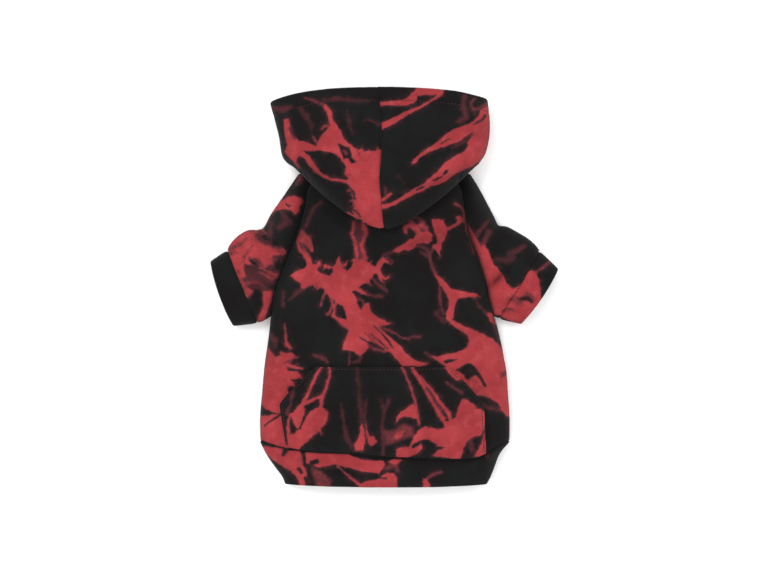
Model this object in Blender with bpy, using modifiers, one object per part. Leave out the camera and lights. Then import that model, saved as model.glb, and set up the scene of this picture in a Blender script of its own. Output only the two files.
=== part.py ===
"""A small dog's pullover hoodie, laid flat on its belly side with its back up and its hood thrown back.

Lengths are in metres. +Z is up, +Y points from the hem to the hood, and the floor is at Z = 0.
Every piece is a sheet of cloth: a smooth surface worked out from the sizes below, given its wall by Solidify.
"""

import bpy
import numpy as np

# Cloth
CLOTH = 0.0022  # wall of the brushed fleece
RIB = 0.0030  # wall of the folded knit in the cuffs and the hem band
SEAM_GAP = 0.0004  # left between two pieces where a seam joins them edge to edge
LAY_GAP = 0.0006  # left between two layers where one lies on the other
NECK_GAP = 0.0010  # left where the hood's edge turns up out of the neckline

# Torso, from the hem seam to the neckline
TORSO_LENGTH = 0.2105
TORSO_WIDTH = 0.2000
TORSO_RISE = 0.0340  # the top layer's height over the floor, at its highest
SIDE_HEIGHT = 0.0180  # the raglan seams' height over the floor, at their highest
HEM_BOW = 0.0130  # how far the hem seam swings down in the middle
THROAT_SCOOP = 0.0040  # how much lower the neckline is cut at the throat than at the nape
THROAT_START = 0.75  # where that lower cut starts to tell, along the torso
UNDERARM = 0.477  # where the side seams end and the raglan seams start, along the torso

# Hem band
BAND_LENGTH = 0.0367
BAND_HALF_WIDTH = 0.0795  # at its open edge
BAND_SHIFT = 0.0015  # how far its open edge lies to the right
BAND_BOW = 0.0018
BAND_RISE = 0.0215
BAND_GAP = 0.0008  # at its seam with the torso
BAND_COLUMNS = ("along", "left_in", "right_in")  # shares of the way from the seam to the open edge
BAND_ROWS = ((0.0, 0.0, 0.0), (0.3, 0.27, 0.45), (0.6, 0.62, 0.68), (0.85, 0.92, 0.86), (1.0, 1.0, 1.0))

# Sleeves and cuffs
SLEEVE_SPAN = 0.1260  # from the middle of the garment to the shoulder end of the cuff seam
SLEEVE_DROP = 0.0585  # from the neck point down to the shoulder end of the cuff seam
SLEEVE_RISE = 0.0150  # how far a sleeve's top layer swells over its edges
SLEEVE_EDGE = 0.0085  # height of a sleeve's shoulder fold over the floor
SLEEVE_HEAD_OUT = 0.0108  # from the raglan seam out to the shoulder fold, at the neckline
SLEEVE_HEAD_UP = 0.0040  # and up to it
UNDERARM_RUN = 0.0100  # about the length of the underarm fold, from the underarm to the cuff seam
CUFF_RISE = 0.0125  # how far a cuff's top layer swells over its edges, at its seam
CUFF_END_RISE = 0.0112
CUFF_DEPTH = 0.0175
CUFF_GAP = 0.0006  # at its seam with the sleeve
CUFF_TAPER = 0.96  # a cuff is this much narrower than the sleeve that it gathers

# Hood
HOOD_WIDTH = 0.1750
HOOD_REACH = 0.0714  # from the neck point up to the brim
HOOD_FALL = 0.0400  # from the neck point down to the peak that hangs on the back
HOOD_LOFT = 0.0235  # how far the hood's crown stands over the nape
HOOD_SIDE = 0.0175  # height of the hood's side folds over the floor
HOOD_THINNING = 0.35  # how much flatter the fold at the peak gets towards the sides
HOOD_EDGE = 0.17  # width of the rounded edge of the hood's underside, as a share of half the hood

# Pocket
POCKET_HEIGHT = 0.0600  # along the back panel's sections, to which the hem's bow adds
POCKET_TOP_WIDTH = 0.1060
POCKET_BASE_WIDTH = 0.1600
POCKET_HAND = 0.0298  # height of each slanting hand opening
POCKET_CURVE = 1.2  # how far the hand openings curve out from a straight slant
POCKET_PUFF = 0.0022  # how far the pocket stands off the back panel, at its sides
POCKET_MIDDLE = 0.6  # share of that in its middle
POCKET_SEAM = 0.0015  # from the hem seam up to the pocket's base

# Shapes of cross-sections
ARCH_POWER = 2.4  # 2 is an ellipse, more is boxier
BOW_POWERS = (2.5, 3.3)  # how square the hem seam's bow is, on the left and on the right
FOLD_WIDTH = 0.0110  # of the rounded edge where a top layer turns into an underside
LIP_WIDTH = 0.0045  # of the narrower turned edge at a raglan seam
LIP_RUN = 0.08  # share of the torso over which the one becomes the other
EDGE_LIMIT = 0.8  # most that a turned edge takes of half a sleeve's width
UPRIGHT = 0.045  # turn in radians of the first step at an edge, which stands upright beside its neighbour
NUDGE = 0.0001  # step in shares over which a surface's slope is measured

# Mesh steps
TORSO_COUNT = 17  # shares across the top layer of the torso and of the hem band
SIDE_ROWS, RAGLAN_ROWS = 8, 10  # torso rows up to the underarm, and above it
SLEEVE_COUNT = 9  # shares across the top layer of a sleeve and of a cuff
OPEN_ROWS, TUBE_ROWS = 12, 3  # sleeve rows down to the underarm, and below it
CUFF_ROWS = 4
HOOD_COUNT = 23  # shares across the hood's upper layer
POCKET_COUNT = 13  # shares across the pocket
STRAIGHT_ROWS, SLANT_ROWS = 4, 5  # pocket rows below the hand openings, and beside them
EDGE_STEPS = 3  # round each edge of an underside
WIDE_FLAT, NARROW_FLAT = 8, 4  # steps between those edges on the torso and the hood, and on a sleeve

# The neck point is the origin's height up the garment: half way between the brim and the open hem.
NECK_Y = (BAND_LENGTH + TORSO_LENGTH - HOOD_REACH) / 2
HEM_SEAM_Y = NECK_Y - TORSO_LENGTH
FLOOR = CLOTH / 2  # the middle of a cloth wall that lies on the floor
BESIDE = CLOTH + SEAM_GAP  # between the middles of two walls that stand side by side

# A row for each section of the torso. along is a share of its length, left and right of half its width,
# crown of its rise, side and lip of SIDE_HEIGHT, bow of HEM_BOW.
TORSO_COLUMNS = ("along", "left", "right", "crown", "side", "lip", "bow")
TORSO_ROWS = (
    (0.000, 0.988, 1.003, 0.79, 0.42, 0.42, 1.00),
    (0.088, 0.990, 1.003, 0.88, 0.42, 0.42, 0.55),
    (0.180, 0.974, 0.989, 0.95, 0.42, 0.42, 0.18),
    (0.289, 0.953, 0.966, 0.99, 0.42, 0.42, 0.00),
    (0.400, 0.920, 0.922, 1.00, 0.42, 0.42, 0.00),
    (UNDERARM, 0.902, 0.878, 1.00, 0.42, 0.42, 0.00),
    (0.555, 0.880, 0.830, 0.98, 0.60, 0.31, 0.00),
    (0.631, 0.824, 0.790, 0.96, 0.76, 0.25, 0.00),
    (0.712, 0.758, 0.733, 0.93, 0.88, 0.23, 0.00),
    (0.783, 0.696, 0.676, 0.89, 0.95, 0.22, 0.00),
    (0.890, 0.622, 0.636, 0.81, 1.00, 0.24, 0.00),
    (0.950, 0.606, 0.618, 0.76, 0.95, 0.25, 0.08),
    (1.000, 0.565, 0.571, 0.71, 0.88, 0.25, 0.30),
)

# A row for each section of a sleeve. reach is a share of the way out from the neck point to the cuff seam,
# drop of the way down, and rise of SLEEVE_RISE. seam is 1 at the neckline, 0 at the underarm and -1 at the
# cuff seam.
SLEEVE_COLUMNS = ("reach", "drop", "seam", "rise")
LEFT_SLEEVE_ROWS = (
    (0.000, 0.000, 1.00, 0.10),
    (0.110, 0.160, 0.87, 0.25),
    (0.235, 0.345, 0.71, 0.45),
    (0.385, 0.560, 0.54, 0.62),
    (0.485, 0.745, 0.35, 0.80),
    (0.580, 0.790, 0.16, 0.95),
    (0.715, 0.795, 0.00, 1.00),
    (0.870, 0.890, -0.50, 0.98),
    (1.000, 1.050, -1.00, 0.88),
)
RIGHT_SLEEVE_ROWS = (
    (0.000, 0.000, 1.00, 0.10),
    (0.115, 0.180, 0.87, 0.25),
    (0.230, 0.390, 0.71, 0.45),
    (0.335, 0.590, 0.54, 0.62),
    (0.405, 0.720, 0.35, 0.80),
    (0.530, 0.745, 0.16, 0.95),
    (0.665, 0.815, 0.00, 1.00),
    (0.835, 0.920, -0.50, 0.98),
    (0.985, 1.060, -1.00, 0.88),
)
UNDERARM_ROW = 6  # the row of both sleeve tables where the sleeve closes into a tube

# How far the underarm fold goes outwards and down, as shares of UNDERARM_RUN.
LEFT_UNDERARM_RUN = (0.95, 0.55)
RIGHT_UNDERARM_RUN = (0.30, 0.22)

# A cuff's open edge against its seam: how far each end moves, out and down, as shares of CUFF_DEPTH.
CUFF_COLUMNS = ("shoulder_out", "shoulder_down", "under_out", "under_down")
LEFT_CUFF = (0.78, 0.55, 1.14, 0.14)
RIGHT_CUFF = (0.86, 0.84, 1.03, 0.24)

# A row for each section of the hood, from the neck seam over the folded peak to the brim. left_out and
# right_out carry the side folds from the neck point out to half the hood's width, left_up and right_up up
# to the brim, and side from the sleeves' edge height up to HOOD_SIDE. centre is the upper layer's middle and
# throat the underside's, as shares of HOOD_REACH above the neck point and of HOOD_FALL below it. loft is a
# share of HOOD_LOFT: over the back panel where rests is 1, and over the nape where it is 0. point is how
# pointed the section is in plan, and boxy how square its arch is.
HOOD_COLUMNS = (
    "left_out", "left_up", "right_out", "right_up", "side", "centre", "throat", "loft", "rests", "point",
    "boxy",
)
HOOD_ROWS = (
    (0.000, 0.031, 0.000, 0.031, 0.03, -0.08, -0.13, 0.05, 1.0, 2.5, 6.5),
    (0.067, 0.0585, 0.058, 0.0582, 0.36, -0.50, -0.06, 0.07, 1.0, 2.2, 6.5),
    (0.131, 0.0690, 0.137, 0.0699, 0.65, -0.92, -0.01, 0.09, 1.0, 1.7, 6.0),
    (0.188, 0.0806, 0.174, 0.0844, 0.92, -1.01, 0.03, 0.28, 1.0, 1.5, 5.0),
    (0.268, 0.0946, 0.242, 0.0951, 1.12, -0.91, 0.06, 0.46, 1.0, 1.5, 4.0),
    (0.463, 0.133, 0.410, 0.142, 1.15, -0.28, 0.12, 1.00, 0.0, 1.6, 2.1),
    (0.663, 0.221, 0.665, 0.274, 1.08, 0.24, 0.24, 0.97, 0.0, 2.0, 2.2),
    (0.805, 0.475, 0.810, 0.539, 0.92, 0.63, 0.42, 0.72, 0.0, 2.3, 2.4),
    (1.121, 0.837, 0.705, 0.868, 0.79, 0.995, 0.62, 0.36, 0.0, 3.0, 2.5),
)
HOOD_STEPS = (1, 2, 1, 1, 2, 3, 3, 3)  # mesh rows from each section of the hood to the next

# Creases pressed into the top layer. x and y are shares of half the torso's width and of its length from
# the neck point down, width and depth shares of CREASE_WIDTH and CREASE_DEPTH.
CREASE_WIDTH = 0.0070
CREASE_DEPTH = 0.0040
CREASE_END = 0.35  # a crease's depth at its ends, as a share of that in its middle
CREASE_COLUMNS = ("start_x", "start_y", "end_x", "end_y", "width", "depth")
CREASE_ROWS = (
    (1.05, 0.33, 0.86, 0.43, 1.0, 1.0),
    (-1.16, 0.26, -0.92, 0.45, 1.1, 0.8),
    (-1.02, 0.22, -0.88, 0.34, 0.9, 0.7),
    (0.88, 0.24, 0.80, 0.36, 0.9, 0.6),
    (-0.86, 0.53, -0.45, 0.62, 1.3, 0.5),
    (0.84, 0.53, 0.42, 0.64, 1.3, 0.5),
)

COLOURS = {"fleece": (0.040, 0.036, 0.038, 1.0), "rib": (0.022, 0.021, 0.022, 1.0)}


def column(columns, rows, name):
    """One named column of a table."""
    return np.array(rows, float)[:, columns.index(name)]


def spline(knots, values, at):
    """A smooth curve through a table's values, cubic between rows."""
    knots, values, at = (np.asarray(a, float) for a in (knots, values, at))
    slopes = np.gradient(values, knots, axis=0)
    row = np.clip(np.searchsorted(knots, at, side="right") - 1, 0, len(knots) - 2)
    step = knots[row + 1] - knots[row]
    share = np.clip((at - knots[row]) / step, 0.0, 1.0)
    shape = np.shape(share) + (1,) * (values.ndim - 1)
    step, share = step.reshape(shape), share.reshape(shape)
    return (
        (1 + 2 * share) * (1 - share) ** 2 * values[row]
        + share**2 * (3 - 2 * share) * values[row + 1]
        + share * (1 - share) ** 2 * step * slopes[row]
        - share**2 * (1 - share) * step * slopes[row + 1]
    )


def arch(share, power=ARCH_POWER):
    """Height of an arch, 1 in the middle and 0 at share -1 and 1, where it stands upright."""
    return (1 - np.minimum(np.abs(share), 1) ** power) ** (1 / power)


def across(count, upright=True):
    """Shares from -1 to 1 across an arch, closer together towards its steep ends.

    An arch whose ends are seams gets two more, so that its first and last steps stand upright.
    """
    angles = np.linspace(0, np.pi, count)
    if upright:
        angles = np.concatenate([angles[:1], [UPRIGHT], angles[1:-1], [np.pi - UPRIGHT], angles[-1:]])
    cosine = -np.cos(angles)
    return np.sign(cosine) * np.abs(cosine) ** (2 / ARCH_POWER)


def underside(first_edge, last_edge, flat_steps):
    """Shares from 1 to -1 along an underside, and how far each has come down from the side fold to the floor.

    Each end is a quarter ellipse whose width is a share of the half width, and the rest lies flat.
    """
    turn = np.concatenate([[0], np.linspace(3 * UPRIGHT, np.pi / 2, EDGE_STEPS)])
    first_edge, last_edge = np.atleast_1d(first_edge)[:, None], np.atleast_1d(last_edge)[:, None]
    first = 1 - first_edge * (1 - np.cos(turn))
    last = -1 + last_edge * (1 - np.cos(turn[::-1]))
    flat = np.linspace(0, 1, flat_steps + 1)[1:-1]
    middle = (1 - first_edge) + (last_edge + first_edge - 2) * flat
    shares = np.concatenate([first, middle, last], axis=1)
    drops = np.concatenate([np.sin(turn), np.ones(len(flat)), np.sin(turn[::-1])])
    return shares, np.broadcast_to(drops, shares.shape)


def bow(share):
    """Depth of the hem's bow at a share across, 1 in the middle and 0 at the sides."""
    left, right = BOW_POWERS
    return 1 - np.abs(share) ** np.where(share < 0, left, right)


def creases(x, y):
    """How far the creases press the top layer down at a place in plan."""
    rows = {name: column(CREASE_COLUMNS, CREASE_ROWS, name) for name in CREASE_COLUMNS}
    half, total = TORSO_WIDTH / 2, 0.0
    for i in range(len(CREASE_ROWS)):
        start = np.array([rows["start_x"][i] * half, NECK_Y - rows["start_y"][i] * TORSO_LENGTH])
        end = np.array([rows["end_x"][i] * half, NECK_Y - rows["end_y"][i] * TORSO_LENGTH])
        run = end - start
        share = np.clip(((x - start[0]) * run[0] + (y - start[1]) * run[1]) / (run @ run), 0, 1)
        off = np.hypot(x - start[0] - share * run[0], y - start[1] - share * run[1])
        fade = CREASE_END + (1 - CREASE_END) * np.sin(np.pi * share)
        total = total + rows["depth"][i] * fade * np.exp(-((off / (rows["width"][i] * CREASE_WIDTH)) ** 2))
    return CREASE_DEPTH * total


def torso_at(along):
    """The torso's named sizes at shares along it, in metres."""
    knots = column(TORSO_COLUMNS, TORSO_ROWS, "along")
    half = TORSO_WIDTH / 2
    units = (half, half, TORSO_RISE, SIDE_HEIGHT, SIDE_HEIGHT, HEM_BOW)
    size = {}
    for name, unit in zip(TORSO_COLUMNS[1:], units):
        size[name] = unit * spline(knots, column(TORSO_COLUMNS, TORSO_ROWS, name), along)
    return size


def torso_plan(share, along, extra_bow=0.0):
    """X and Y of the torso at shares across and along it."""
    size = torso_at(along)
    x = (size["right"] - size["left"]) / 2 + share * (size["right"] + size["left"]) / 2
    y = HEM_SEAM_Y + along * TORSO_LENGTH - (size["bow"] + extra_bow) * bow(share)
    return x, y, size


def torso_top(share, along):
    """The middle of the back panel's wall: an arch from one side seam or raglan seam to the other."""
    x, y, size = torso_plan(share, along)
    rise = arch(share)
    z = size["side"] + (size["crown"] - size["side"]) * rise - creases(x, y) * rise
    return np.stack(np.broadcast_arrays(x, y, z), axis=-1)


def torso_height(x, y):
    """Height of the back panel's wall over a place in plan, found in a few rounds because of the bow."""
    along = np.clip((y - HEM_SEAM_Y) / TORSO_LENGTH, 0, 1)
    for _ in range(5):
        size = torso_at(along)
        middle, half = (size["right"] - size["left"]) / 2, (size["right"] + size["left"]) / 2
        share = np.clip((x - middle) / half, -1, 1)
        along = np.clip((y + size["bow"] * bow(share) - HEM_SEAM_Y) / TORSO_LENGTH, 0, 1)
    return torso_top(share, along)[..., 2]


def throat_scoop(along):
    """Extra bow of the belly panel, which is cut lower towards the neckline."""
    return THROAT_SCOOP * np.clip((along - THROAT_START) / (1 - THROAT_START), 0, 1) ** 2


def torso_under(along):
    """Rows of the belly panel, from its right edge to its left, with turned-up edges."""
    along = np.asarray(along, float)[:, None]
    size = torso_at(along[:, 0])
    half = (size["right"] + size["left"]) / 2
    closed = np.clip(1 - (along[:, 0] - UNDERARM) / LIP_RUN, 0, 1)
    edge = (LIP_WIDTH + (FOLD_WIDTH - LIP_WIDTH) * closed) / half
    share, drop = underside(edge, edge, WIDE_FLAT)
    x, y, _ = torso_plan(share, along, throat_scoop(along))
    lip = size["lip"][:, None] - SEAM_GAP * closed[:, None]
    z = FLOOR + (lip - FLOOR) * (1 - drop)
    return np.stack([x, y, z], axis=-1)


def add_sheet(name, points, wall, material, wraps_from=None, wraps=False):
    """A sheet of cloth through a grid of points, as an object with its wall centred on them.

    wraps joins the last column to the first, and wraps_from does so from that row on.
    """
    rows, columns = points.shape[:2]
    index = np.arange(rows * columns).reshape(rows, columns)
    if wraps:
        index = np.concatenate([index, index[:, :1]], axis=1)
    if wraps_from is not None:
        index[wraps_from:, -1] = index[wraps_from:, 0]
    quads = np.stack([index[:-1, :-1], index[1:, :-1], index[1:, 1:], index[:-1, 1:]], axis=-1).reshape(-1, 4)
    used, quads = np.unique(quads, return_inverse=True)
    mesh = bpy.data.meshes.new(name)
    mesh.from_pydata(points.reshape(-1, 3)[used].tolist(), [], quads.reshape(-1, 4).tolist())
    mesh.materials.append(material)
    mesh.shade_smooth()
    sheet = bpy.data.objects.new(name, mesh)
    thicken = sheet.modifiers.new("wall", "SOLIDIFY")
    thicken.thickness = wall
    thicken.offset = 0.0
    bpy.data.collections["dog_hoodie"].objects.link(sheet)
    return sheet


def build_torso(fleece):
    """The back panel and the belly panel, which meet edge to edge along the side seams."""
    share = across(TORSO_COUNT)[None, :]
    seams = np.linspace(0, UNDERARM, SIDE_ROWS)
    raglans = np.linspace(UNDERARM, 1, RAGLAN_ROWS + 1)[1:]
    along = np.concatenate([seams, raglans])
    ends = np.zeros_like(along)
    ends[0], ends[-1] = SEAM_GAP / 2, -SEAM_GAP / 2
    along = along + ends / TORSO_LENGTH
    add_sheet("back_panel", torso_top(share, along[:, None]), CLOTH, fleece)
    add_sheet("belly_panel", torso_under(along), CLOTH, fleece)


def sleeve_seam(side, seam, run):
    """Plan point, upper height and lower height of a sleeve's seam edge, for shares from 1 down to -1."""
    along = UNDERARM + (1 - UNDERARM) * np.clip(seam, 0, 1)
    x, y, size = torso_plan(float(side), along)
    past = np.clip(-seam, 0, 1)
    out, down = run
    x = x + side * (BESIDE + past * out * UNDERARM_RUN)
    y = y - past * down * UNDERARM_RUN
    return np.stack([x, y], axis=-1), size["side"], size["lip"]


def sleeve_row(table, stations):
    """The named columns of a sleeve's table at stations between its rows."""
    knots = np.arange(len(table))
    return {name: spline(knots, column(SLEEVE_COLUMNS, table, name), stations) for name in SLEEVE_COLUMNS}


def sleeve_fold(side, row):
    """Plan points of a sleeve's shoulder fold."""
    neck_x, neck_y = neck_side(side)
    reach = SLEEVE_SPAN - abs(neck_x)
    return np.stack([neck_x + side * row["reach"] * reach, neck_y - row["drop"] * SLEEVE_DROP], axis=-1)


def sleeve_rings(side, table, run, stations):
    """Rows round a sleeve at stations of its table.

    Each goes over the top from its seam to the shoulder fold, and back underneath.
    """
    row = sleeve_row(table, stations)
    seam, upper, lower = sleeve_seam(side, row["seam"], run)
    fold = sleeve_fold(side, row)
    width = np.linalg.norm(fold - seam, axis=-1)
    rise = row["rise"] * SLEEVE_RISE
    opened = np.clip(row["seam"] * (1 - UNDERARM) / LIP_RUN, 0, 1)
    edge = np.minimum(FOLD_WIDTH / (width / 2), EDGE_LIMIT)
    seam_edge = np.minimum((FOLD_WIDTH + (LIP_WIDTH - FOLD_WIDTH) * opened) / (width / 2), EDGE_LIMIT)

    steep = across(SLEEVE_COUNT)[None, :]
    even = np.linspace(-1, 1, steep.shape[1])[None, :]
    flatter = np.clip(row["seam"], 0, 1)[:, None]
    share = steep + (even - steep) * flatter
    swell = arch(share) * (1 - flatter) + (1 - share**2) * flatter
    way = (1 + share) / 2
    top_plan = seam[:, None] + way[..., None] * (fold - seam)[:, None]
    top_z = upper[:, None] * (1 - way) + SLEEVE_EDGE * way + rise[:, None] * swell
    top_z = top_z - creases(top_plan[..., 0], top_plan[..., 1]) * swell
    top = np.concatenate([top_plan, top_z[..., None]], axis=-1)

    share, drop = underside(edge, seam_edge, NARROW_FLAT)
    way = (1 + share) / 2
    under_plan = seam[:, None] + way[..., None] * (fold - seam)[:, None]
    end = np.where(share > 0, SLEEVE_EDGE, lower[:, None])
    under_z = FLOOR + (end - FLOOR) * (1 - drop)
    under = np.concatenate([under_plan, under_z[..., None]], axis=-1)
    return np.concatenate([top, under[:, 1:]], axis=1)


def neck_side(side):
    """The neck point of one side in plan, where the shoulder fold meets the hood."""
    x, y, _ = torso_plan(float(side), np.array(1.0))
    return x + side * SLEEVE_HEAD_OUT, y + SLEEVE_HEAD_UP


def cuff_ring(shoulder, under, rise):
    """One closed ring of a cuff: over the top from the underarm to the shoulder, and back along the floor."""
    run = shoulder - under
    share = across(SLEEVE_COUNT, upright=False)
    top = np.column_stack([under + (1 + share)[:, None] / 2 * run, SLEEVE_EDGE + rise * arch(share)])
    edge = FOLD_WIDTH / (np.linalg.norm(run) / 2)
    shares, drops = underside(edge, edge, NARROW_FLAT)
    height = RIB / 2 + (SLEEVE_EDGE - RIB / 2) * (1 - drops[0])
    below = np.column_stack([under + (1 + shares[0])[:, None] / 2 * run, height])
    return np.concatenate([top, below[1:-1]], axis=0)


def build_sleeve(name, side, table, run, cuff, fleece, rib):
    """A raglan sleeve, open towards the torso down to the underarm and a tube beyond it, and its cuff."""
    last = len(table) - 1
    opened = np.linspace(0, UNDERARM_ROW, OPEN_ROWS)
    tube = np.linspace(UNDERARM_ROW, last, TUBE_ROWS + 1)[1:]
    rings = sleeve_rings(side, table, run, np.concatenate([opened, tube]))
    add_sheet(f"{name}_sleeve", rings, CLOTH, fleece, wraps_from=OPEN_ROWS - 1)

    end = sleeve_row(table, np.array([float(last)]))
    under, shoulder = sleeve_seam(side, end["seam"], run)[0][0], sleeve_fold(side, end)[0]
    middle = (under + shoulder) / 2
    under, shoulder = middle + (under - middle) * CUFF_TAPER, middle + (shoulder - middle) * CUFF_TAPER
    sizes = dict(zip(CUFF_COLUMNS, np.array(cuff) * CUFF_DEPTH))
    shoulder_run = np.array([side * sizes["shoulder_out"], -sizes["shoulder_down"]])
    under_run = np.array([side * sizes["under_out"], -sizes["under_down"]])
    rows = []
    for share in np.linspace(CUFF_GAP / CUFF_DEPTH, 1, CUFF_ROWS):
        ends = (shoulder + share * shoulder_run, under + share * under_run)
        rise = CUFF_RISE + (CUFF_END_RISE - CUFF_RISE) * share
        rows.append(cuff_ring(*ends, rise))
    add_sheet(f"{name}_cuff", np.array(rows), RIB, rib, wraps=True)


def build_hem_band(fleece):
    """The folded band that gathers the torso's open end, in two lengths that meet at the side seams."""
    seam = torso_at(np.array(0.0))
    back, belly = [], []
    top_share = across(TORSO_COUNT)
    for along, left_in, right_in in BAND_ROWS:
        left = seam["left"] + (BAND_HALF_WIDTH - BAND_SHIFT - seam["left"]) * left_in
        right = seam["right"] + (BAND_HALF_WIDTH + BAND_SHIFT - seam["right"]) * right_in
        middle, half = (right - left) / 2, (right + left) / 2
        crown = seam["crown"] + (BAND_RISE - seam["crown"]) * along
        depth = HEM_BOW + (BAND_BOW - HEM_BOW) * along
        side_y = HEM_SEAM_Y - BAND_GAP - (BAND_LENGTH - BAND_GAP - BAND_BOW) * along
        top_z = seam["side"] + (crown - seam["side"]) * arch(top_share)
        back.append(np.stack([middle + top_share * half, side_y - depth * bow(top_share), top_z], axis=1))
        shares, drops = underside(FOLD_WIDTH / half, FOLD_WIDTH / half, WIDE_FLAT)
        share, drop = shares[0], drops[0]
        under_z = RIB / 2 + (seam["side"] - SEAM_GAP - RIB / 2) * (1 - drop)
        belly.append(np.stack([middle + share * half, side_y - depth * bow(share), under_z], axis=1))
    add_sheet("hem_band_back", np.array(back), RIB, fleece)
    add_sheet("hem_band_belly", np.array(belly), RIB, fleece)


def hood_y(share):
    """Y of a hood share: of HOOD_REACH above the neck point, and of HOOD_FALL below it."""
    return NECK_Y + np.where(share > 0, share * HOOD_REACH, share * HOOD_FALL)


def hood_side(row, way):
    """Plan point of a hood section's side fold: the left one where way is negative, or the right one."""
    points = []
    for side, name in ((-1, "left"), (1, "right")):
        neck_x, neck_y = neck_side(side)
        out = row[f"{name}_out"] * (HOOD_WIDTH / 2 - abs(neck_x))
        up = row[f"{name}_up"] * (NECK_Y + HOOD_REACH - neck_y)
        points.append((neck_x + side * out, neck_y + up))
    (left_x, left_y), (right_x, right_y) = points
    return np.where(way < 0, left_x, right_x), np.where(way < 0, left_y, right_y)


def hood_net(share, drop_share, drop):
    """The hood's sections as two grids of points: its upper layer, and its underside.

    share runs from -1 at the left side fold to 1 at the right one.
    """
    nape = torso_top(np.array(0.0), np.array(1.0))[2]
    upper, lower = [], []
    for number, values in enumerate(HOOD_ROWS):
        row = dict(zip(HOOD_COLUMNS, values))
        side_z = SLEEVE_EDGE + row["side"] * (HOOD_SIDE - SLEEVE_EDGE)
        plans = []
        for way, centre_y in ((share, hood_y(row["centre"])), (drop_share, hood_y(row["throat"]))):
            side_x, side_y = hood_side(row, way)
            y = side_y + (centre_y - side_y) * (1 - np.abs(way) ** row["point"])
            if number == 0:
                y = neck_line(np.abs(way) * side_x, side_y, THROAT_SCOOP if way is drop_share else 0.0)
            plans.append((np.abs(way) * side_x, y))
        (x, y), (under_x, under_y) = plans
        loft = row["loft"] * HOOD_LOFT
        if row["rests"]:
            crown = torso_height(x, y) + CLOTH + LAY_GAP + loft * (1 - HOOD_THINNING * share**2)
        else:
            crown = nape + loft
        upper.append(np.stack([x, y, side_z + (crown - side_z) * arch(share, row["boxy"])], axis=-1))
        lower.append(np.stack([under_x, under_y, FLOOR + (side_z - FLOOR) * (1 - drop)], axis=-1))
    return np.array(upper), np.array(lower)


def neck_line(x, side_y, scoop):
    """Y of the hood's neck seam: past the torso's top edge, and then past the sleeve's to the side fold."""
    size = torso_at(np.array(1.0))
    raglan = np.where(x < 0, size["left"], size["right"])
    _, edge_y, _ = torso_plan(np.clip(x / raglan, -1, 1), np.array(1.0), scoop)
    way = np.clip((np.abs(x) - raglan) / (np.abs(x).max() - raglan), 0, 1)
    start_y = edge_y + NECK_GAP
    return start_y + (side_y - start_y) * way


def build_hood(fleece):
    """The hood's two panels, which meet at the centre seam over the crown and at the throat."""
    top_share = across(HOOD_COUNT, upright=False)
    under_share, drop = underside(HOOD_EDGE, HOOD_EDGE, WIDE_FLAT)
    upper, lower = hood_net(top_share, under_share[0], drop[0])
    centre = upper[:, len(top_share) // 2]
    knots = np.concatenate([[0], np.cumsum(np.linalg.norm(np.diff(centre, axis=0), axis=1))])
    stations = [knots[0]]
    for i, steps in enumerate(HOOD_STEPS):
        stations.extend(np.linspace(knots[i], knots[i + 1], steps + 1)[1:])
    upper, lower = spline(knots, upper, stations), spline(knots, lower, stations)
    half_top, half_under = len(top_share) // 2, lower.shape[1] // 2
    halves = {
        "hood_left": np.concatenate([lower[:, half_under:-1], upper[:, : half_top + 1]], axis=1),
        "hood_right": np.concatenate([lower[:, half_under:0:-1], upper[:, : half_top - 1 : -1]], axis=1),
    }
    for name, points in halves.items():
        side = -1 if name == "hood_left" else 1
        points = points.copy()
        for end in (0, -1):
            points[:, end, 0] += side * SEAM_GAP
        add_sheet(name, points, CLOTH, fleece)


def build_pocket(fleece):
    """The pouch pocket, which follows the back panel and is open at its two slanting sides."""
    hand = 1 - POCKET_HAND / POCKET_HEIGHT
    straight, slanting = np.linspace(0, hand, STRAIGHT_ROWS), np.linspace(hand, 1, SLANT_ROWS + 1)
    up = np.concatenate([straight, slanting[1:]])[:, None]
    share = np.linspace(-1, 1, POCKET_COUNT)[None, :]
    slant = np.clip((up - hand) / (1 - hand), 0, 1) ** POCKET_CURVE
    half = (POCKET_BASE_WIDTH + (POCKET_TOP_WIDTH - POCKET_BASE_WIDTH) * slant) / 2
    along = (POCKET_SEAM + up * (POCKET_HEIGHT - POCKET_SEAM)) / TORSO_LENGTH
    torso = torso_at(along)
    torso_share = share * half / ((torso["right"] + torso["left"]) / 2)
    base = torso_top(torso_share, along)
    across_way = torso_top(torso_share + NUDGE, along) - torso_top(torso_share - NUDGE, along)
    up_way = torso_top(torso_share, along + NUDGE) - torso_top(torso_share, along - NUDGE)
    normal = np.cross(across_way, up_way)
    normal /= np.linalg.norm(normal, axis=-1, keepdims=True)
    puff = POCKET_PUFF * np.sin(np.pi * up) * (POCKET_MIDDLE + (1 - POCKET_MIDDLE) * np.abs(share))
    add_sheet("pocket", base + normal * (CLOTH + LAY_GAP + puff)[..., None], CLOTH, fleece)


def make_material(name):
    """A Principled material in one of the garment's colours."""
    material = bpy.data.materials.new(name)
    material.use_nodes = True
    shader = material.node_tree.nodes["Principled BSDF"]
    shader.inputs["Base Color"].default_value = COLOURS[name]
    shader.inputs["Roughness"].default_value = 0.9
    shader.inputs["Metallic"].default_value = 0.0
    return material


def main():
    """Build the whole garment in one collection."""
    for old in list(bpy.data.objects):
        bpy.data.objects.remove(old)
    bpy.context.scene.collection.children.link(bpy.data.collections.new("dog_hoodie"))
    fleece, rib = make_material("fleece"), make_material("rib")
    build_torso(fleece)
    build_hem_band(fleece)
    build_sleeve("left", -1, LEFT_SLEEVE_ROWS, LEFT_UNDERARM_RUN, LEFT_CUFF, fleece, rib)
    build_sleeve("right", 1, RIGHT_SLEEVE_ROWS, RIGHT_UNDERARM_RUN, RIGHT_CUFF, fleece, rib)
    build_hood(fleece)
    build_pocket(fleece)


main()
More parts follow.
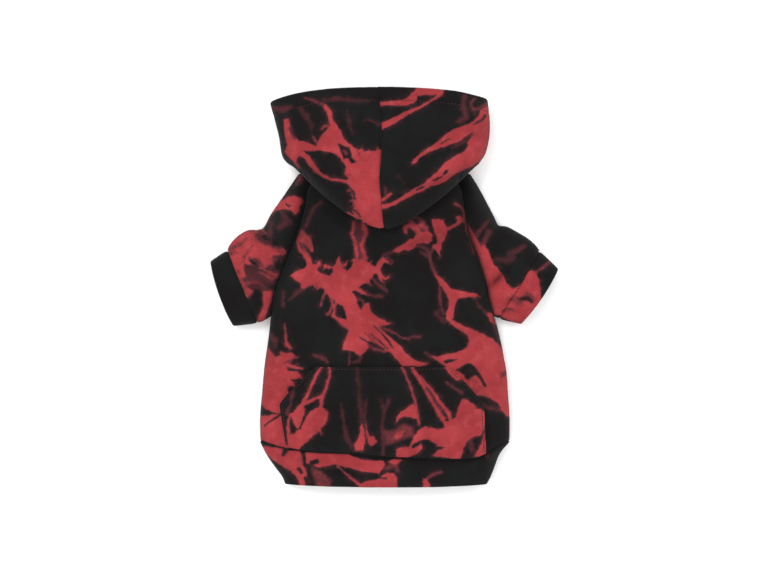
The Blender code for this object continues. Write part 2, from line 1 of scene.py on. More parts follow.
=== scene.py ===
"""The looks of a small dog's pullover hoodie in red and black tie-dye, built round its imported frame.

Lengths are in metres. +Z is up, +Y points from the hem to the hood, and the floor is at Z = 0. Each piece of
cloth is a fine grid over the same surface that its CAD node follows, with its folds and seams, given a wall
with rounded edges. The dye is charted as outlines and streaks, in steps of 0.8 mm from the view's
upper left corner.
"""

import math

import bpy
import numpy as np
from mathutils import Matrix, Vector


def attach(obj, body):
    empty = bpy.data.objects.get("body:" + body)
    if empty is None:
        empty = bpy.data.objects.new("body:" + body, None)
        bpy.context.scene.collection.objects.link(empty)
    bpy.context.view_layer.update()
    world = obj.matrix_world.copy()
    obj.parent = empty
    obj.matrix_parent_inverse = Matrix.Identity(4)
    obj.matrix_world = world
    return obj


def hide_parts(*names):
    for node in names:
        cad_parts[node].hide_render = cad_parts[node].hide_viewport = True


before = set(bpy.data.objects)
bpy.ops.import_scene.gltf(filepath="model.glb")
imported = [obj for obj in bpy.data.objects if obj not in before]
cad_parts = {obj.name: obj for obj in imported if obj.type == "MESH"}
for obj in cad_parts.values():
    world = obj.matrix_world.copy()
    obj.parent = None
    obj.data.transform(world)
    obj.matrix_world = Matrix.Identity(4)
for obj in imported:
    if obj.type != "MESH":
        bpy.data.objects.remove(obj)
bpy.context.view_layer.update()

# Cloth
CLOTH = 0.0022  # wall of the brushed fleece
RIB = 0.0030  # wall of the folded knit in the cuffs and the hem band
SEAM_GAP = 0.0004  # left between two pieces where a seam joins them edge to edge
LAY_GAP = 0.0006  # left between two layers where one lies on the other
NECK_GAP = 0.0010  # left where the hood's edge turns up out of the neckline

# Torso, from the hem seam to the neckline
TORSO_LENGTH = 0.2105
TORSO_WIDTH = 0.2000
TORSO_RISE = 0.0340  # the top layer's height over the floor, at its highest
SIDE_HEIGHT = 0.0180  # the raglan seams' height over the floor, at their highest
HEM_BOW = 0.0130  # how far the hem seam swings down in the middle
THROAT_SCOOP = 0.0040  # how much lower the neckline is cut at the throat than at the nape
THROAT_START = 0.75  # where that lower cut starts to tell, along the torso
UNDERARM = 0.477  # where the side seams end and the raglan seams start, along the torso

# Hem band
BAND_LENGTH = 0.0367
BAND_HALF_WIDTH = 0.0795  # at its open edge
BAND_SHIFT = 0.0015  # how far its open edge lies to the right
BAND_BOW = 0.0018
BAND_RISE = 0.0215
BAND_COLUMNS = ("along", "left_in", "right_in")  # shares of the way from the seam to the open edge
BAND_ROWS = ((0.0, 0.0, 0.0), (0.3, 0.27, 0.45), (0.6, 0.62, 0.68), (0.85, 0.92, 0.86), (1.0, 1.0, 1.0))

# Sleeves and cuffs
SLEEVE_SPAN = 0.1260  # from the middle of the garment to the shoulder end of the cuff seam
SLEEVE_DROP = 0.0585  # from the neck point down to the shoulder end of the cuff seam
SLEEVE_RISE = 0.0150  # how far a sleeve's top layer swells over its edges
SLEEVE_EDGE = 0.0085  # height of a sleeve's shoulder fold over the floor
SLEEVE_HEAD_OUT = 0.0108  # from the raglan seam out to the shoulder fold, at the neckline
SLEEVE_HEAD_UP = 0.0040  # and up to it
UNDERARM_RUN = 0.0100  # about the length of the underarm fold, from the underarm to the cuff seam
CUFF_RISE = 0.0125  # how far a cuff's top layer swells over its edges, at its seam
CUFF_END_RISE = 0.0112
CUFF_DEPTH = 0.0175
CUFF_TAPER = 0.96  # a cuff is this much narrower than the sleeve that it gathers

# Hood
HOOD_WIDTH = 0.1750
HOOD_REACH = 0.0714  # from the neck point up to the brim
HOOD_FALL = 0.0400  # from the neck point down to the peak that hangs on the back
HOOD_LOFT = 0.0235  # how far the hood's crown stands over the nape
HOOD_SIDE = 0.0175  # height of the hood's side folds over the floor
HOOD_THINNING = 0.35  # how much flatter the fold at the peak gets towards the sides
HOOD_EDGE = 0.17  # width of the rounded edge of the hood's underside, as a share of half the hood

# Pocket
POCKET_HEIGHT = 0.0600  # along the back panel's sections, to which the hem's bow adds
POCKET_TOP_WIDTH = 0.1060
POCKET_BASE_WIDTH = 0.1600
POCKET_HAND = 0.0298  # height of each slanting hand opening
POCKET_CURVE = 1.2  # how far the hand openings curve out from a straight slant
POCKET_PUFF = 0.0022  # how far the pocket stands off the back panel, at its sides
POCKET_MIDDLE = 0.6  # share of that in its middle
POCKET_SEAM = 0.0015  # from the hem seam up to the pocket's base

# Shapes of cross-sections
ARCH_POWER = 2.4  # 2 is an ellipse, more is boxier
BOW_POWERS = (2.5, 3.3)  # how square the hem seam's bow is, on the left and on the right
FOLD_WIDTH = 0.0110  # of the rounded edge where a top layer turns into an underside
LIP_WIDTH = 0.0045  # of the narrower turned edge at a raglan seam
LIP_RUN = 0.08  # share of the torso over which the one becomes the other
EDGE_LIMIT = 0.8  # most that a turned edge takes of half a sleeve's width

# The neck point is the origin's height up the garment: half way between the brim and the open hem.
NECK_Y = (BAND_LENGTH + TORSO_LENGTH - HOOD_REACH) / 2
HEM_SEAM_Y = NECK_Y - TORSO_LENGTH
FLOOR = CLOTH / 2  # the middle of a cloth wall that lies on the floor
BESIDE = 0.8 * CLOTH  # between the middles of two walls whose rounded edges are sewn together

# A row for each section of the torso. along is a share of its length, left and right of half its width,
# crown of its rise, side and lip of SIDE_HEIGHT, bow of HEM_BOW.
TORSO_COLUMNS = ("along", "left", "right", "crown", "side", "lip", "bow")
TORSO_ROWS = (
    (0.000, 0.988, 1.003, 0.79, 0.42, 0.42, 1.00),
    (0.088, 0.990, 1.003, 0.88, 0.42, 0.42, 0.55),
    (0.180, 0.974, 0.989, 0.95, 0.42, 0.42, 0.18),
    (0.289, 0.953, 0.966, 0.99, 0.42, 0.42, 0.00),
    (0.400, 0.920, 0.922, 1.00, 0.42, 0.42, 0.00),
    (UNDERARM, 0.902, 0.878, 1.00, 0.42, 0.42, 0.00),
    (0.555, 0.880, 0.830, 0.98, 0.60, 0.31, 0.00),
    (0.631, 0.824, 0.790, 0.96, 0.76, 0.25, 0.00),
    (0.712, 0.758, 0.733, 0.93, 0.88, 0.23, 0.00),
    (0.783, 0.696, 0.676, 0.89, 0.95, 0.22, 0.00),
    (0.890, 0.622, 0.636, 0.81, 1.00, 0.24, 0.00),
    (0.950, 0.606, 0.618, 0.76, 0.95, 0.25, 0.08),
    (1.000, 0.565, 0.571, 0.71, 0.88, 0.25, 0.30),
)

# A row for each section of a sleeve. reach is a share of the way out from the neck point to the cuff seam,
# drop of the way down, and rise of SLEEVE_RISE. seam is 1 at the neckline, 0 at the underarm and -1 at the
# cuff seam.
SLEEVE_COLUMNS = ("reach", "drop", "seam", "rise")
LEFT_SLEEVE_ROWS = (
    (0.000, 0.000, 1.00, 0.10),
    (0.110, 0.160, 0.87, 0.25),
    (0.235, 0.345, 0.71, 0.45),
    (0.385, 0.560, 0.54, 0.62),
    (0.485, 0.745, 0.35, 0.80),
    (0.580, 0.790, 0.16, 0.95),
    (0.715, 0.795, 0.00, 1.00),
    (0.870, 0.890, -0.50, 0.98),
    (1.000, 1.050, -1.00, 0.88),
)
RIGHT_SLEEVE_ROWS = (
    (0.000, 0.000, 1.00, 0.10),
    (0.115, 0.180, 0.87, 0.25),
    (0.230, 0.390, 0.71, 0.45),
    (0.335, 0.590, 0.54, 0.62),
    (0.405, 0.720, 0.35, 0.80),
    (0.530, 0.745, 0.16, 0.95),
    (0.665, 0.815, 0.00, 1.00),
    (0.835, 0.920, -0.50, 0.98),
    (0.985, 1.060, -1.00, 0.88),
)
UNDERARM_ROW = 6  # the row of both sleeve tables where the sleeve closes into a tube

# How far the underarm fold goes outwards and down, as shares of UNDERARM_RUN.
LEFT_UNDERARM_RUN = (0.95, 0.55)
RIGHT_UNDERARM_RUN = (0.30, 0.22)

# A cuff's open edge against its seam: how far each end moves, out and down, as shares of CUFF_DEPTH.
CUFF_COLUMNS = ("shoulder_out", "shoulder_down", "under_out", "under_down")
LEFT_CUFF = (0.78, 0.55, 1.14, 0.14)
RIGHT_CUFF = (0.86, 0.84, 1.03, 0.24)

# A row for each section of the hood, from the neck seam over the folded peak to the brim. left_out and
# right_out carry the side folds from the neck point out to half the hood's width, left_up and right_up up
# to the brim, and side from the sleeves' edge height up to HOOD_SIDE. centre is the upper layer's middle and
# throat the underside's, as shares of HOOD_REACH above the neck point and of HOOD_FALL below it. loft is a
# share of HOOD_LOFT: over the back panel where rests is 1, and over the nape where it is 0. point is how
# pointed the section is in plan, and boxy how square its arch is.
HOOD_COLUMNS = (
    "left_out", "left_up", "right_out", "right_up", "side", "centre", "throat", "loft", "rests", "point",
    "boxy",
)
HOOD_ROWS = (
    (0.000, 0.031, 0.000, 0.031, 0.03, -0.08, -0.13, 0.05, 1.0, 2.5, 6.5),
    (0.067, 0.0585, 0.058, 0.0582, 0.36, -0.50, -0.06, 0.07, 1.0, 2.2, 6.5),
    (0.131, 0.0690, 0.137, 0.0699, 0.65, -0.92, -0.01, 0.09, 1.0, 1.7, 6.0),
    (0.188, 0.0806, 0.174, 0.0844, 0.92, -1.01, 0.03, 0.28, 1.0, 1.5, 5.0),
    (0.268, 0.0946, 0.242, 0.0951, 1.12, -0.91, 0.06, 0.46, 1.0, 1.5, 4.0),
    (0.463, 0.133, 0.410, 0.142, 1.15, -0.28, 0.12, 1.00, 0.0, 1.6, 2.1),
    (0.663, 0.221, 0.665, 0.274, 1.08, 0.24, 0.24, 0.97, 0.0, 2.0, 2.2),
    (0.805, 0.475, 0.810, 0.539, 0.92, 0.63, 0.42, 0.72, 0.0, 2.3, 2.4),
    (1.121, 0.837, 0.705, 0.868, 0.79, 0.995, 0.62, 0.36, 0.0, 3.0, 2.5),
)

# Creases pressed into the top layer. x and y are shares of half the torso's width and of its length from
# the neck point down, width and depth shares of CREASE_WIDTH and CREASE_DEPTH.
CREASE_WIDTH = 0.0070
CREASE_DEPTH = 0.0040
CREASE_END = 0.35  # a crease's depth at its ends, as a share of that in its middle
CREASE_COLUMNS = ("start_x", "start_y", "end_x", "end_y", "width", "depth")
CREASE_ROWS = (
    (1.05, 0.33, 0.86, 0.43, 1.0, 1.0),
    (-1.16, 0.26, -0.92, 0.45, 1.1, 0.8),
    (-1.02, 0.22, -0.88, 0.34, 0.9, 0.7),
    (0.88, 0.24, 0.80, 0.36, 0.9, 0.6),
    (-0.86, 0.53, -0.45, 0.62, 1.3, 0.5),
    (0.84, 0.53, 0.42, 0.64, 1.3, 0.5),
)

# The dye, given as a chart. A shape is red or black, sharp (1) or faint (less), and an outline or a streak. A
# frayed shape is a red streak with short points along both its sides. Later shapes lie over earlier ones, and
# cloth without a shape is black.
CHART_STEP = 0.0008
CHART_ORIGIN = (384.0, 288.0)  # where the garment's origin lies in the chart
VIEW_HEIGHT = 1.9  # of the eye over the floor, from where the chart was read
CHART_HEIGHT = 0.02  # height over the floor at which a chart step is true


def outline(colour, strength, *numbers):
    """A closed outline, from the x and y of each of its points in turn."""
    return colour, strength, np.reshape(numbers, (-1, 2)).tolist()


def streak(colour, strength, *numbers):
    """An open streak, from the x, y and half width of each of its points in turn."""
    return colour, strength, np.reshape(numbers, (-1, 3)).tolist()


HOOD_LEFT_DYE = (
    outline("red", 1, 328, 129, 333, 125, 337, 126, 340, 130, 343, 137, 347, 142, 352, 146, 357, 151,
        362, 153, 372, 152, 381, 151, 388, 160, 388, 228, 379, 228, 372, 223, 364, 220, 357, 216, 353, 210,
        357, 203, 357, 199, 354, 194, 351, 190, 349, 185, 345, 182, 350, 180, 344, 174, 347, 170, 345, 165,
        341, 159, 337, 155, 328, 152, 318, 151, 308, 151, 300, 151, 303, 156, 299, 156, 296, 162, 290, 157,
        286, 152, 288, 144, 285, 130, 284, 119, 289, 119, 291, 128, 295, 137, 299, 141, 309, 143, 317, 147,
        319, 141, 323, 135),
    streak("frayed", 0.9, 353, 149, 0.5, 362, 153, 0.5, 372, 152, 0.6, 381, 151, 0.6),
    streak("frayed", 0.9, 346, 169, 0.5, 350, 178, 0.5, 351, 190, 0.6, 356, 202, 0.5, 357, 214, 0.6,
        366, 221, 0.5, 378, 228, 0.5),
    streak("red", 1, 326, 107, 2, 330, 113, 2.6, 331, 121, 2, 335, 127, 2.5),
    streak("red", 0.7, 305, 98, 0.9, 314, 101, 0.9, 321, 104, 1, 327, 109, 1.6),
    streak("red", 1, 301, 153, 2.2, 308, 158, 2.4, 313, 166, 2, 320, 173, 1.4, 329, 178.5, 1.1,
        340, 180, 1.2, 349, 182, 1.6),
    streak("red", 0.8, 290, 155, 1.6, 295, 160, 1.6, 300, 167, 1),
    streak("red", 0.8, 322, 129, 1, 325, 126.5, 1, 329, 127, 1.2),
    streak("red", 0.8, 314, 137, 0.8, 316, 142, 1.2, 319, 146, 1.4),
    outline("black", 1, 338, 144, 345, 146, 350, 147, 351, 152, 352, 158, 357, 162, 352, 164, 348, 159,
        344, 159, 341, 153),
    streak("black", 0.9, 290, 128, 0.7, 292, 133, 0.9, 295, 139, 0.6),
    streak("black", 0.8, 311, 140, 0.9, 316, 145, 0.9),
    streak("black", 0.9, 350, 187, 0.8, 354, 193, 1.2, 355, 198, 1),
    streak("black", 0.9, 349, 207, 1.2, 356, 210, 1, 361, 216, 0.8),
    streak("red", 1, 349, 212, 0.8, 356, 216, 0.9),
    streak("black", 0.6, 342, 173, 0.5, 350, 176, 0.5),
    streak("red", 0.7, 344, 151, 0.8, 346, 154, 0.9),
    streak("black", 0.7, 357, 150, 0.5, 359, 155, 0.6, 360, 153, 0.3),
    streak("red", 0.33, 324, 101, 1.4, 335, 99, 2.2, 350, 100, 2, 368, 102, 1),
    streak("red", 0.36, 276, 108, 2, 284, 110, 3, 292, 107, 1.4),
    streak("red", 0.26, 299, 108, 1.4, 307, 116, 2.6, 314, 126, 1.8),
    streak("red", 0.25, 347, 112, 1, 350, 124, 2, 352, 134, 1),
    streak("red", 0.34, 364, 120, 0.8, 372, 122, 1.2, 379, 125, 0.9),
    streak("red", 0.25, 300, 112, 0.8, 310, 124, 1.2, 313, 134, 0.8),
    streak("red", 0.35, 305, 177, 1, 311, 186, 1.4, 311, 192, 0.8),
)
HOOD_RIGHT_DYE = (
    streak("red", 1, 374, 105, 2, 388, 104, 2, 402, 103, 2.8, 411, 101, 3.4, 414, 98, 3),
    outline("red", 1, 403, 102, 408, 97, 415, 91, 420, 86, 445, 86, 443.5, 93, 437, 95.5, 425, 95,
        416.5, 96.5, 414, 103, 407, 105),
    streak("red", 1, 441, 94.5, 1.4, 433, 100, 1, 425, 105, 0.9, 416, 109.5, 1.2, 407, 113.5, 2,
        397, 119, 2.6, 388, 124, 3, 376, 129, 3.2),
    outline("red", 1, 411, 164, 414, 159, 421, 153.5, 430, 147, 437, 142, 444, 136, 450, 131, 458, 128,
        466, 125, 473, 121, 478, 116, 480, 110, 486, 106, 496, 104, 498, 134, 476, 133, 468, 137, 460, 141,
        452, 144, 440, 148, 430, 152, 421, 157, 415, 163),
    outline("red", 1, 498, 128, 498, 145, 488, 152, 480, 160, 473, 165, 466, 168, 459, 171, 452, 175,
        446, 180, 438, 184, 430, 186, 423, 190, 414, 194, 404, 199, 395, 205, 386, 208, 376, 209, 376, 205,
        390, 203, 398, 199, 406, 193, 414, 188.5, 422, 184, 430, 177.5, 438, 170, 446, 162, 452, 158,
        458, 155, 464, 151, 467, 147, 467, 142, 471, 137, 477, 132),
    streak("black", 0.9, 441, 144, 0.5, 446, 140.5, 0.9, 450, 139, 0.4),
    streak("black", 0.9, 455, 146, 0.8, 464, 139, 1.2, 472, 133, 0.7),
    streak("black", 1, 443, 174, 1, 446, 171, 1.4),
    streak("black", 1, 433, 180, 0.9, 438, 177.5, 1.1, 441, 176.5, 0.6),
    streak("black", 1, 416, 190, 0.7, 421, 187.5, 1, 424, 186, 0.6),
    streak("red", 0.9, 383, 200, 1.4, 387, 197, 1.4, 391, 193, 0.9),
    streak("red", 0.6, 385, 187, 0.7, 386, 194, 0.9),
    streak("red", 0.3, 452, 148, 1.4, 462, 143, 1.6, 468, 138, 1),
    streak("red", 0.4, 464, 98, 2.5, 463, 108, 2.8, 466, 118, 2.2, 458, 122, 2),
    streak("red", 0.6, 474, 99, 1, 470, 104, 1.2, 473, 110, 1.4, 480, 108, 1.2, 487, 103, 2),
    streak("red", 0.3, 473, 112, 1.5, 477, 120, 2),
    streak("black", 0.8, 484, 116, 1.4, 480, 121, 1.6, 473, 124, 0.8),
    streak("red", 0.22, 398, 176, 1, 404, 183, 1.4),
    streak("red", 0.25, 420, 107, 0.5, 434, 99, 0.6),
)
TORSO_DYE = (
    streak("red", 0.35, 322, 202, 1.2, 315, 207, 1.6, 311, 216, 1.6, 308, 224, 1.2, 304, 229, 1.2),
    outline("red", 0.7, 303, 230, 307, 234, 311, 237, 312, 243, 313, 252, 310, 251, 306, 246, 301, 243,
        297, 243, 299, 236),
    streak("red", 0.9, 302, 231, 0.9, 298, 240, 1.2, 299, 248, 1.4, 304, 254, 1.6, 309, 262, 2.2),
    streak("red", 0.8, 302, 245, 0.8, 306, 252, 1.2, 310, 259, 1.4),
    streak("red", 0.9, 311, 240, 0.8, 313, 250, 0.9),
    outline("red", 1, 291, 276, 294, 273, 299, 270, 305, 269, 307, 265, 306, 260, 310, 259, 313, 264,
        317, 265, 320, 260, 321, 264, 317, 270, 322, 274, 330, 276, 334, 273, 334, 267, 337, 262, 339, 256,
        341, 262, 341, 268, 347, 271, 351, 268, 353, 263, 357, 260, 362, 260, 366, 262, 371, 265, 376, 267,
        378, 262, 383, 257, 387, 261, 391, 264, 385, 263, 380, 268, 382, 275, 386, 278, 390, 276, 387, 280,
        381, 279, 385, 284, 380, 281, 377, 274, 374, 273, 371, 278, 367, 283, 362, 285, 358, 288, 363, 291,
        369, 296, 361, 294, 355, 290, 352, 291, 356, 297, 357, 303, 361, 310, 365, 304, 369, 303, 371, 311,
        376, 317, 383, 320, 391, 323.5, 385, 325.5, 379, 327, 384, 332, 390, 336.5, 396, 342, 401, 347,
        406, 353, 413, 359, 421, 362, 428, 364, 420, 366, 410, 366, 402, 366, 397, 359, 391, 353, 385, 349,
        377, 344, 370, 341, 367, 344, 369, 348, 364, 353, 360, 356, 355, 352, 350, 350, 343, 350, 343, 345,
        346, 338, 349, 331, 347, 326, 342, 321, 336, 318, 341, 318, 347, 319, 346, 312, 344, 307, 339, 304,
        334, 300, 329, 296, 326, 291, 321, 286, 316, 283.5, 310, 284, 306, 288, 302, 288, 301, 283,
        296, 280),
    streak("red", 1, 282, 353, 1.6, 291, 357, 1.3, 298, 358, 0.3),
    streak("red", 1, 283, 363, 1.8, 293, 367, 1.4, 303, 369, 0.3),
    streak("red", 1, 284, 373, 1.8, 295, 375, 1.4, 304, 379, 0.4),
    streak("red", 1, 284, 381, 1.5, 293, 385, 1, 300, 390, 0.3),
    streak("red", 0.9, 282, 389, 1.3, 289, 393, 0.8, 294, 399, 0.3),
    outline("red", 0.66, 404, 231, 404, 225, 410, 222, 418, 224, 424, 221, 428, 227, 431, 238, 424, 237,
        414, 241, 409, 236),
    streak("red", 0.6, 407, 217, 0.5, 412, 222, 1, 417, 226, 1.2),
    streak("black", 0.8, 408, 228, 1, 412, 232, 1.5, 416, 236, 0.8),
    streak("black", 0.7, 419, 227, 0.8, 423, 231, 1.4, 426, 235, 0.8),
    streak("red", 0.9, 464, 220, 1.4, 467.5, 229, 2.8, 472, 239, 3.8, 477, 251, 4.2),
    streak("frayed", 0.9, 316, 262, 0.4, 330, 268, 0.5, 346, 265, 0.4),
    streak("frayed", 0.9, 352, 261, 0.5, 365, 261, 0.5, 373, 268, 0.5, 367, 282, 0.4),
    streak("frayed", 0.8, 300, 280, 0.4, 318, 286, 0.5, 336, 292, 0.5, 344, 302, 0.4),
    streak("red", 0.8, 326, 292, 1.4, 323, 298, 0.9, 321, 306, 0.8),
    streak("red", 0.8, 331, 297, 1.3, 333, 305, 1.2, 330, 312, 1.2, 327, 315, 0.8),
    streak("red", 0.8, 338, 299, 1, 335, 306, 1.2, 334, 316, 1.3),
    streak("red", 0.9, 333, 315, 1.2, 340, 321, 1.8, 348, 327, 2.4),
    outline("red", 0.35, 352, 220, 366, 222, 368, 234, 364, 250, 366, 262, 356, 262, 356, 248, 351, 234),
    streak("red", 0.75, 354, 223, 1.4, 352, 234, 1.6, 356, 246, 1.8, 357, 258, 2.2),
    streak("red", 0.75, 363, 222, 1.6, 366, 233, 2, 362, 246, 1.8, 365, 258, 2.4),
    streak("red", 0.5, 362, 291, 0.9, 372, 296, 1.2, 382, 297, 1),
    streak("red", 0.6, 371, 277, 0.8, 378, 284, 1, 387, 291, 0.7),
    streak("red", 0.5, 359, 299, 1.4, 363, 301, 1.4, 364, 308, 1),
    streak("black", 0.9, 353, 292, 0.7, 359, 295, 0.9, 365, 300, 0.8),
    streak("black", 0.7, 374, 276, 0.6, 380, 282, 0.8, 388, 289, 0.6),
    streak("black", 0.7, 366, 285, 0.5, 372, 282, 0.7, 374, 280, 0.5),
    streak("red", 0.6, 350, 350, 0.7, 350, 357, 0.8, 349, 364, 0.7),
    streak("red", 0.5, 362, 354, 0.9, 360, 360, 1, 354, 362, 0.9),
    streak("black", 0.95, 360, 337.5, 0.6, 368, 342, 1, 376, 348.5, 1.6, 385, 352.5, 1.2),
    streak("black", 0.95, 374, 326, 0.5, 381, 333, 1, 388, 341, 1.2, 393, 348, 0.8),
    streak("black", 0.9, 370, 333, 0.4, 379, 341, 1, 388, 349, 0.9),
    streak("black", 0.7, 364, 332, 0.4, 372, 339, 0.8, 380, 347, 0.6),
    streak("red", 0.8, 378, 326, 0.6, 387, 329.5, 0.7, 395, 333.5, 0.8, 402, 338, 0.8, 409, 339, 0.6),
    streak("red", 0.6, 408, 338, 0.8, 413, 336, 0.8, 420, 337, 0.6),
    streak("red", 0.7, 367, 343, 0.6, 374, 349, 0.8, 383, 351, 0.8, 391, 351, 1),
    streak("red", 0.45, 396, 250, 1, 384, 255, 1, 392, 262, 1),
    outline("red", 1, 393, 251, 400, 246, 406, 243, 409, 239, 414, 240, 417, 236, 421, 233, 428, 231.5,
        432, 235, 432, 241, 428, 244, 422, 243, 416, 247, 410, 250, 404, 250, 399, 253),
    streak("red", 0.7, 405, 232, 1.4, 404, 228, 1.4, 409, 225, 1.6, 414, 228, 1.4, 417, 232, 1.6,
        418, 237, 2.2),
    streak("red", 0.5, 419, 230, 1.6, 424, 226, 1.4, 421, 220, 1.4, 413, 216, 0.9),
    streak("black", 1, 409, 231, 2.4, 412, 235, 3.2),
    streak("black", 0.9, 417, 245, 0.8, 423, 246, 1.4, 428, 248, 0.8),
    outline("red", 1, 432, 219, 437, 219, 443, 220, 446, 227, 447, 232, 445, 238, 441, 245, 440, 252,
        440, 257, 436, 250, 432, 248, 433, 245, 437, 243, 437, 237, 434, 232, 433, 225),
    streak("black", 0.7, 433, 232, 1.6, 434, 238, 2, 434, 242, 1.2),
    streak("red", 0.9, 444, 229, 2, 450, 228, 1.4, 456, 224, 1.4, 461, 219, 1.6),
    streak("red", 0.9, 455, 204, 1, 460, 207, 1.4, 463, 212, 1.8, 463, 221, 1.6),
    outline("red", 0.9, 455, 217, 459, 216, 462, 222, 458, 225),
    streak("red", 0.62, 419, 246, 0.6, 426, 249, 1, 430, 255, 1.1, 431, 263, 1, 434, 271, 1.2,
        438, 277, 1.8),
    streak("red", 0.5, 421, 252, 0.8, 429, 256, 1.6, 432, 250, 1.4),
    outline("red", 1, 435, 274, 441, 278, 447, 284, 451, 289, 458, 290.5, 466, 292.5, 476, 294, 479, 297,
        468, 297, 458, 298, 455, 303, 454, 310, 453, 318, 449, 322, 446, 319, 446, 314, 448, 308, 449, 301,
        446, 294, 443, 288, 438, 282),
    streak("red", 0.62, 440, 284, 1, 440, 297, 1, 441, 306, 0.9, 444, 314, 0.8),
    streak("red", 0.4, 473, 298, 0.8, 478, 306, 1, 486, 314, 0.9),
    streak("red", 0.3, 443, 309, 1.4, 436, 314, 1.8, 444, 322, 2.4),
    outline("red", 0.9, 486, 313, 492, 313, 497, 319, 501, 330, 494, 324, 489, 322),
    streak("red", 0.35, 493, 322, 2, 497, 332, 2.4, 500, 342, 2.6),
    outline("red", 1, 446, 318, 454, 321, 464, 326, 475, 331, 485, 335, 493, 340, 499, 346, 508, 350,
        518, 420, 506, 416, 501, 411, 494, 404, 488, 400, 479, 398, 470, 395, 464, 390, 462, 384, 456, 378,
        450, 372, 445, 366, 438, 361, 430, 356, 437, 357, 443, 355, 452, 354, 461, 351, 467, 347, 470, 341,
        467, 335, 460, 330, 451, 324),
    outline("black", 1, 455, 370, 460, 367, 465, 363.5, 471, 363.5, 475.5, 367, 479, 373, 483, 380, 487, 387,
        483, 386, 479, 379, 475, 375.5, 471, 377, 468, 380, 464, 378, 463, 375, 459, 372),
    outline("black", 0.28, 464, 378, 471, 377, 476, 376, 481, 384, 487, 388, 490, 396, 482, 397, 471, 395,
        463, 390),
    outline("black", 0.95, 467, 394, 475, 395, 484, 396, 491, 399, 497, 403, 500, 408, 494, 406, 487, 402,
        480, 402, 473, 400),
    outline("black", 1, 443, 361, 449, 359, 457, 359, 452, 362, 446, 364),
    streak("red", 0.45, 478, 404, 1.4, 488, 407, 1.8, 500, 410, 1.4),
    streak("red", 0.5, 425, 353, 0.8, 432, 357, 1),
    streak("black", 0.5, 499, 378, 1.4, 502, 374, 2.4, 506, 372, 1.8),
    streak("red", 0.55, 314, 355, 1, 321, 357, 1.8, 328, 362, 1.2),
    streak("red", 0.8, 285, 324, 0.7, 286, 336, 1.2, 287, 345, 2, 291, 348, 1.6),
    streak("red", 0.35, 270, 334, 1.6, 275, 340, 2.6, 276, 346, 2),
    streak("red", 0.4, 284, 292, 0.8, 284, 306, 1.2),
    streak("red", 0.4, 290, 300, 0.8, 297, 292, 1.4, 306, 288, 1.2),
    outline("red", 1, 250, 346, 269, 348, 272, 353, 276, 357, 283, 354, 292, 353, 295, 356, 291, 362,
        285, 366, 288, 371, 297, 372, 302, 375, 297, 379, 290, 380, 295, 383, 291, 385, 287, 387, 289, 396,
        287, 403, 284, 409, 280, 413, 273, 412, 266, 409, 262, 404, 250, 400),
    streak("red", 0.7, 285, 366, 1, 293, 366, 1, 298, 364, 0.5),
    outline("red", 1, 250, 415, 262, 416, 270, 415, 281, 413, 285, 420, 285, 430, 287, 440, 288, 449,
        280, 460, 250, 460),
    streak("black", 0.9, 265, 426, 0.5, 272, 420, 1.2, 282, 414, 1.2),
    streak("black", 0.7, 258, 442, 0.6, 270, 444, 0.8, 281, 448, 0.8),
    streak("black", 0.8, 294, 358, 0.5, 289, 361, 0.9, 284, 363, 0.5),
)
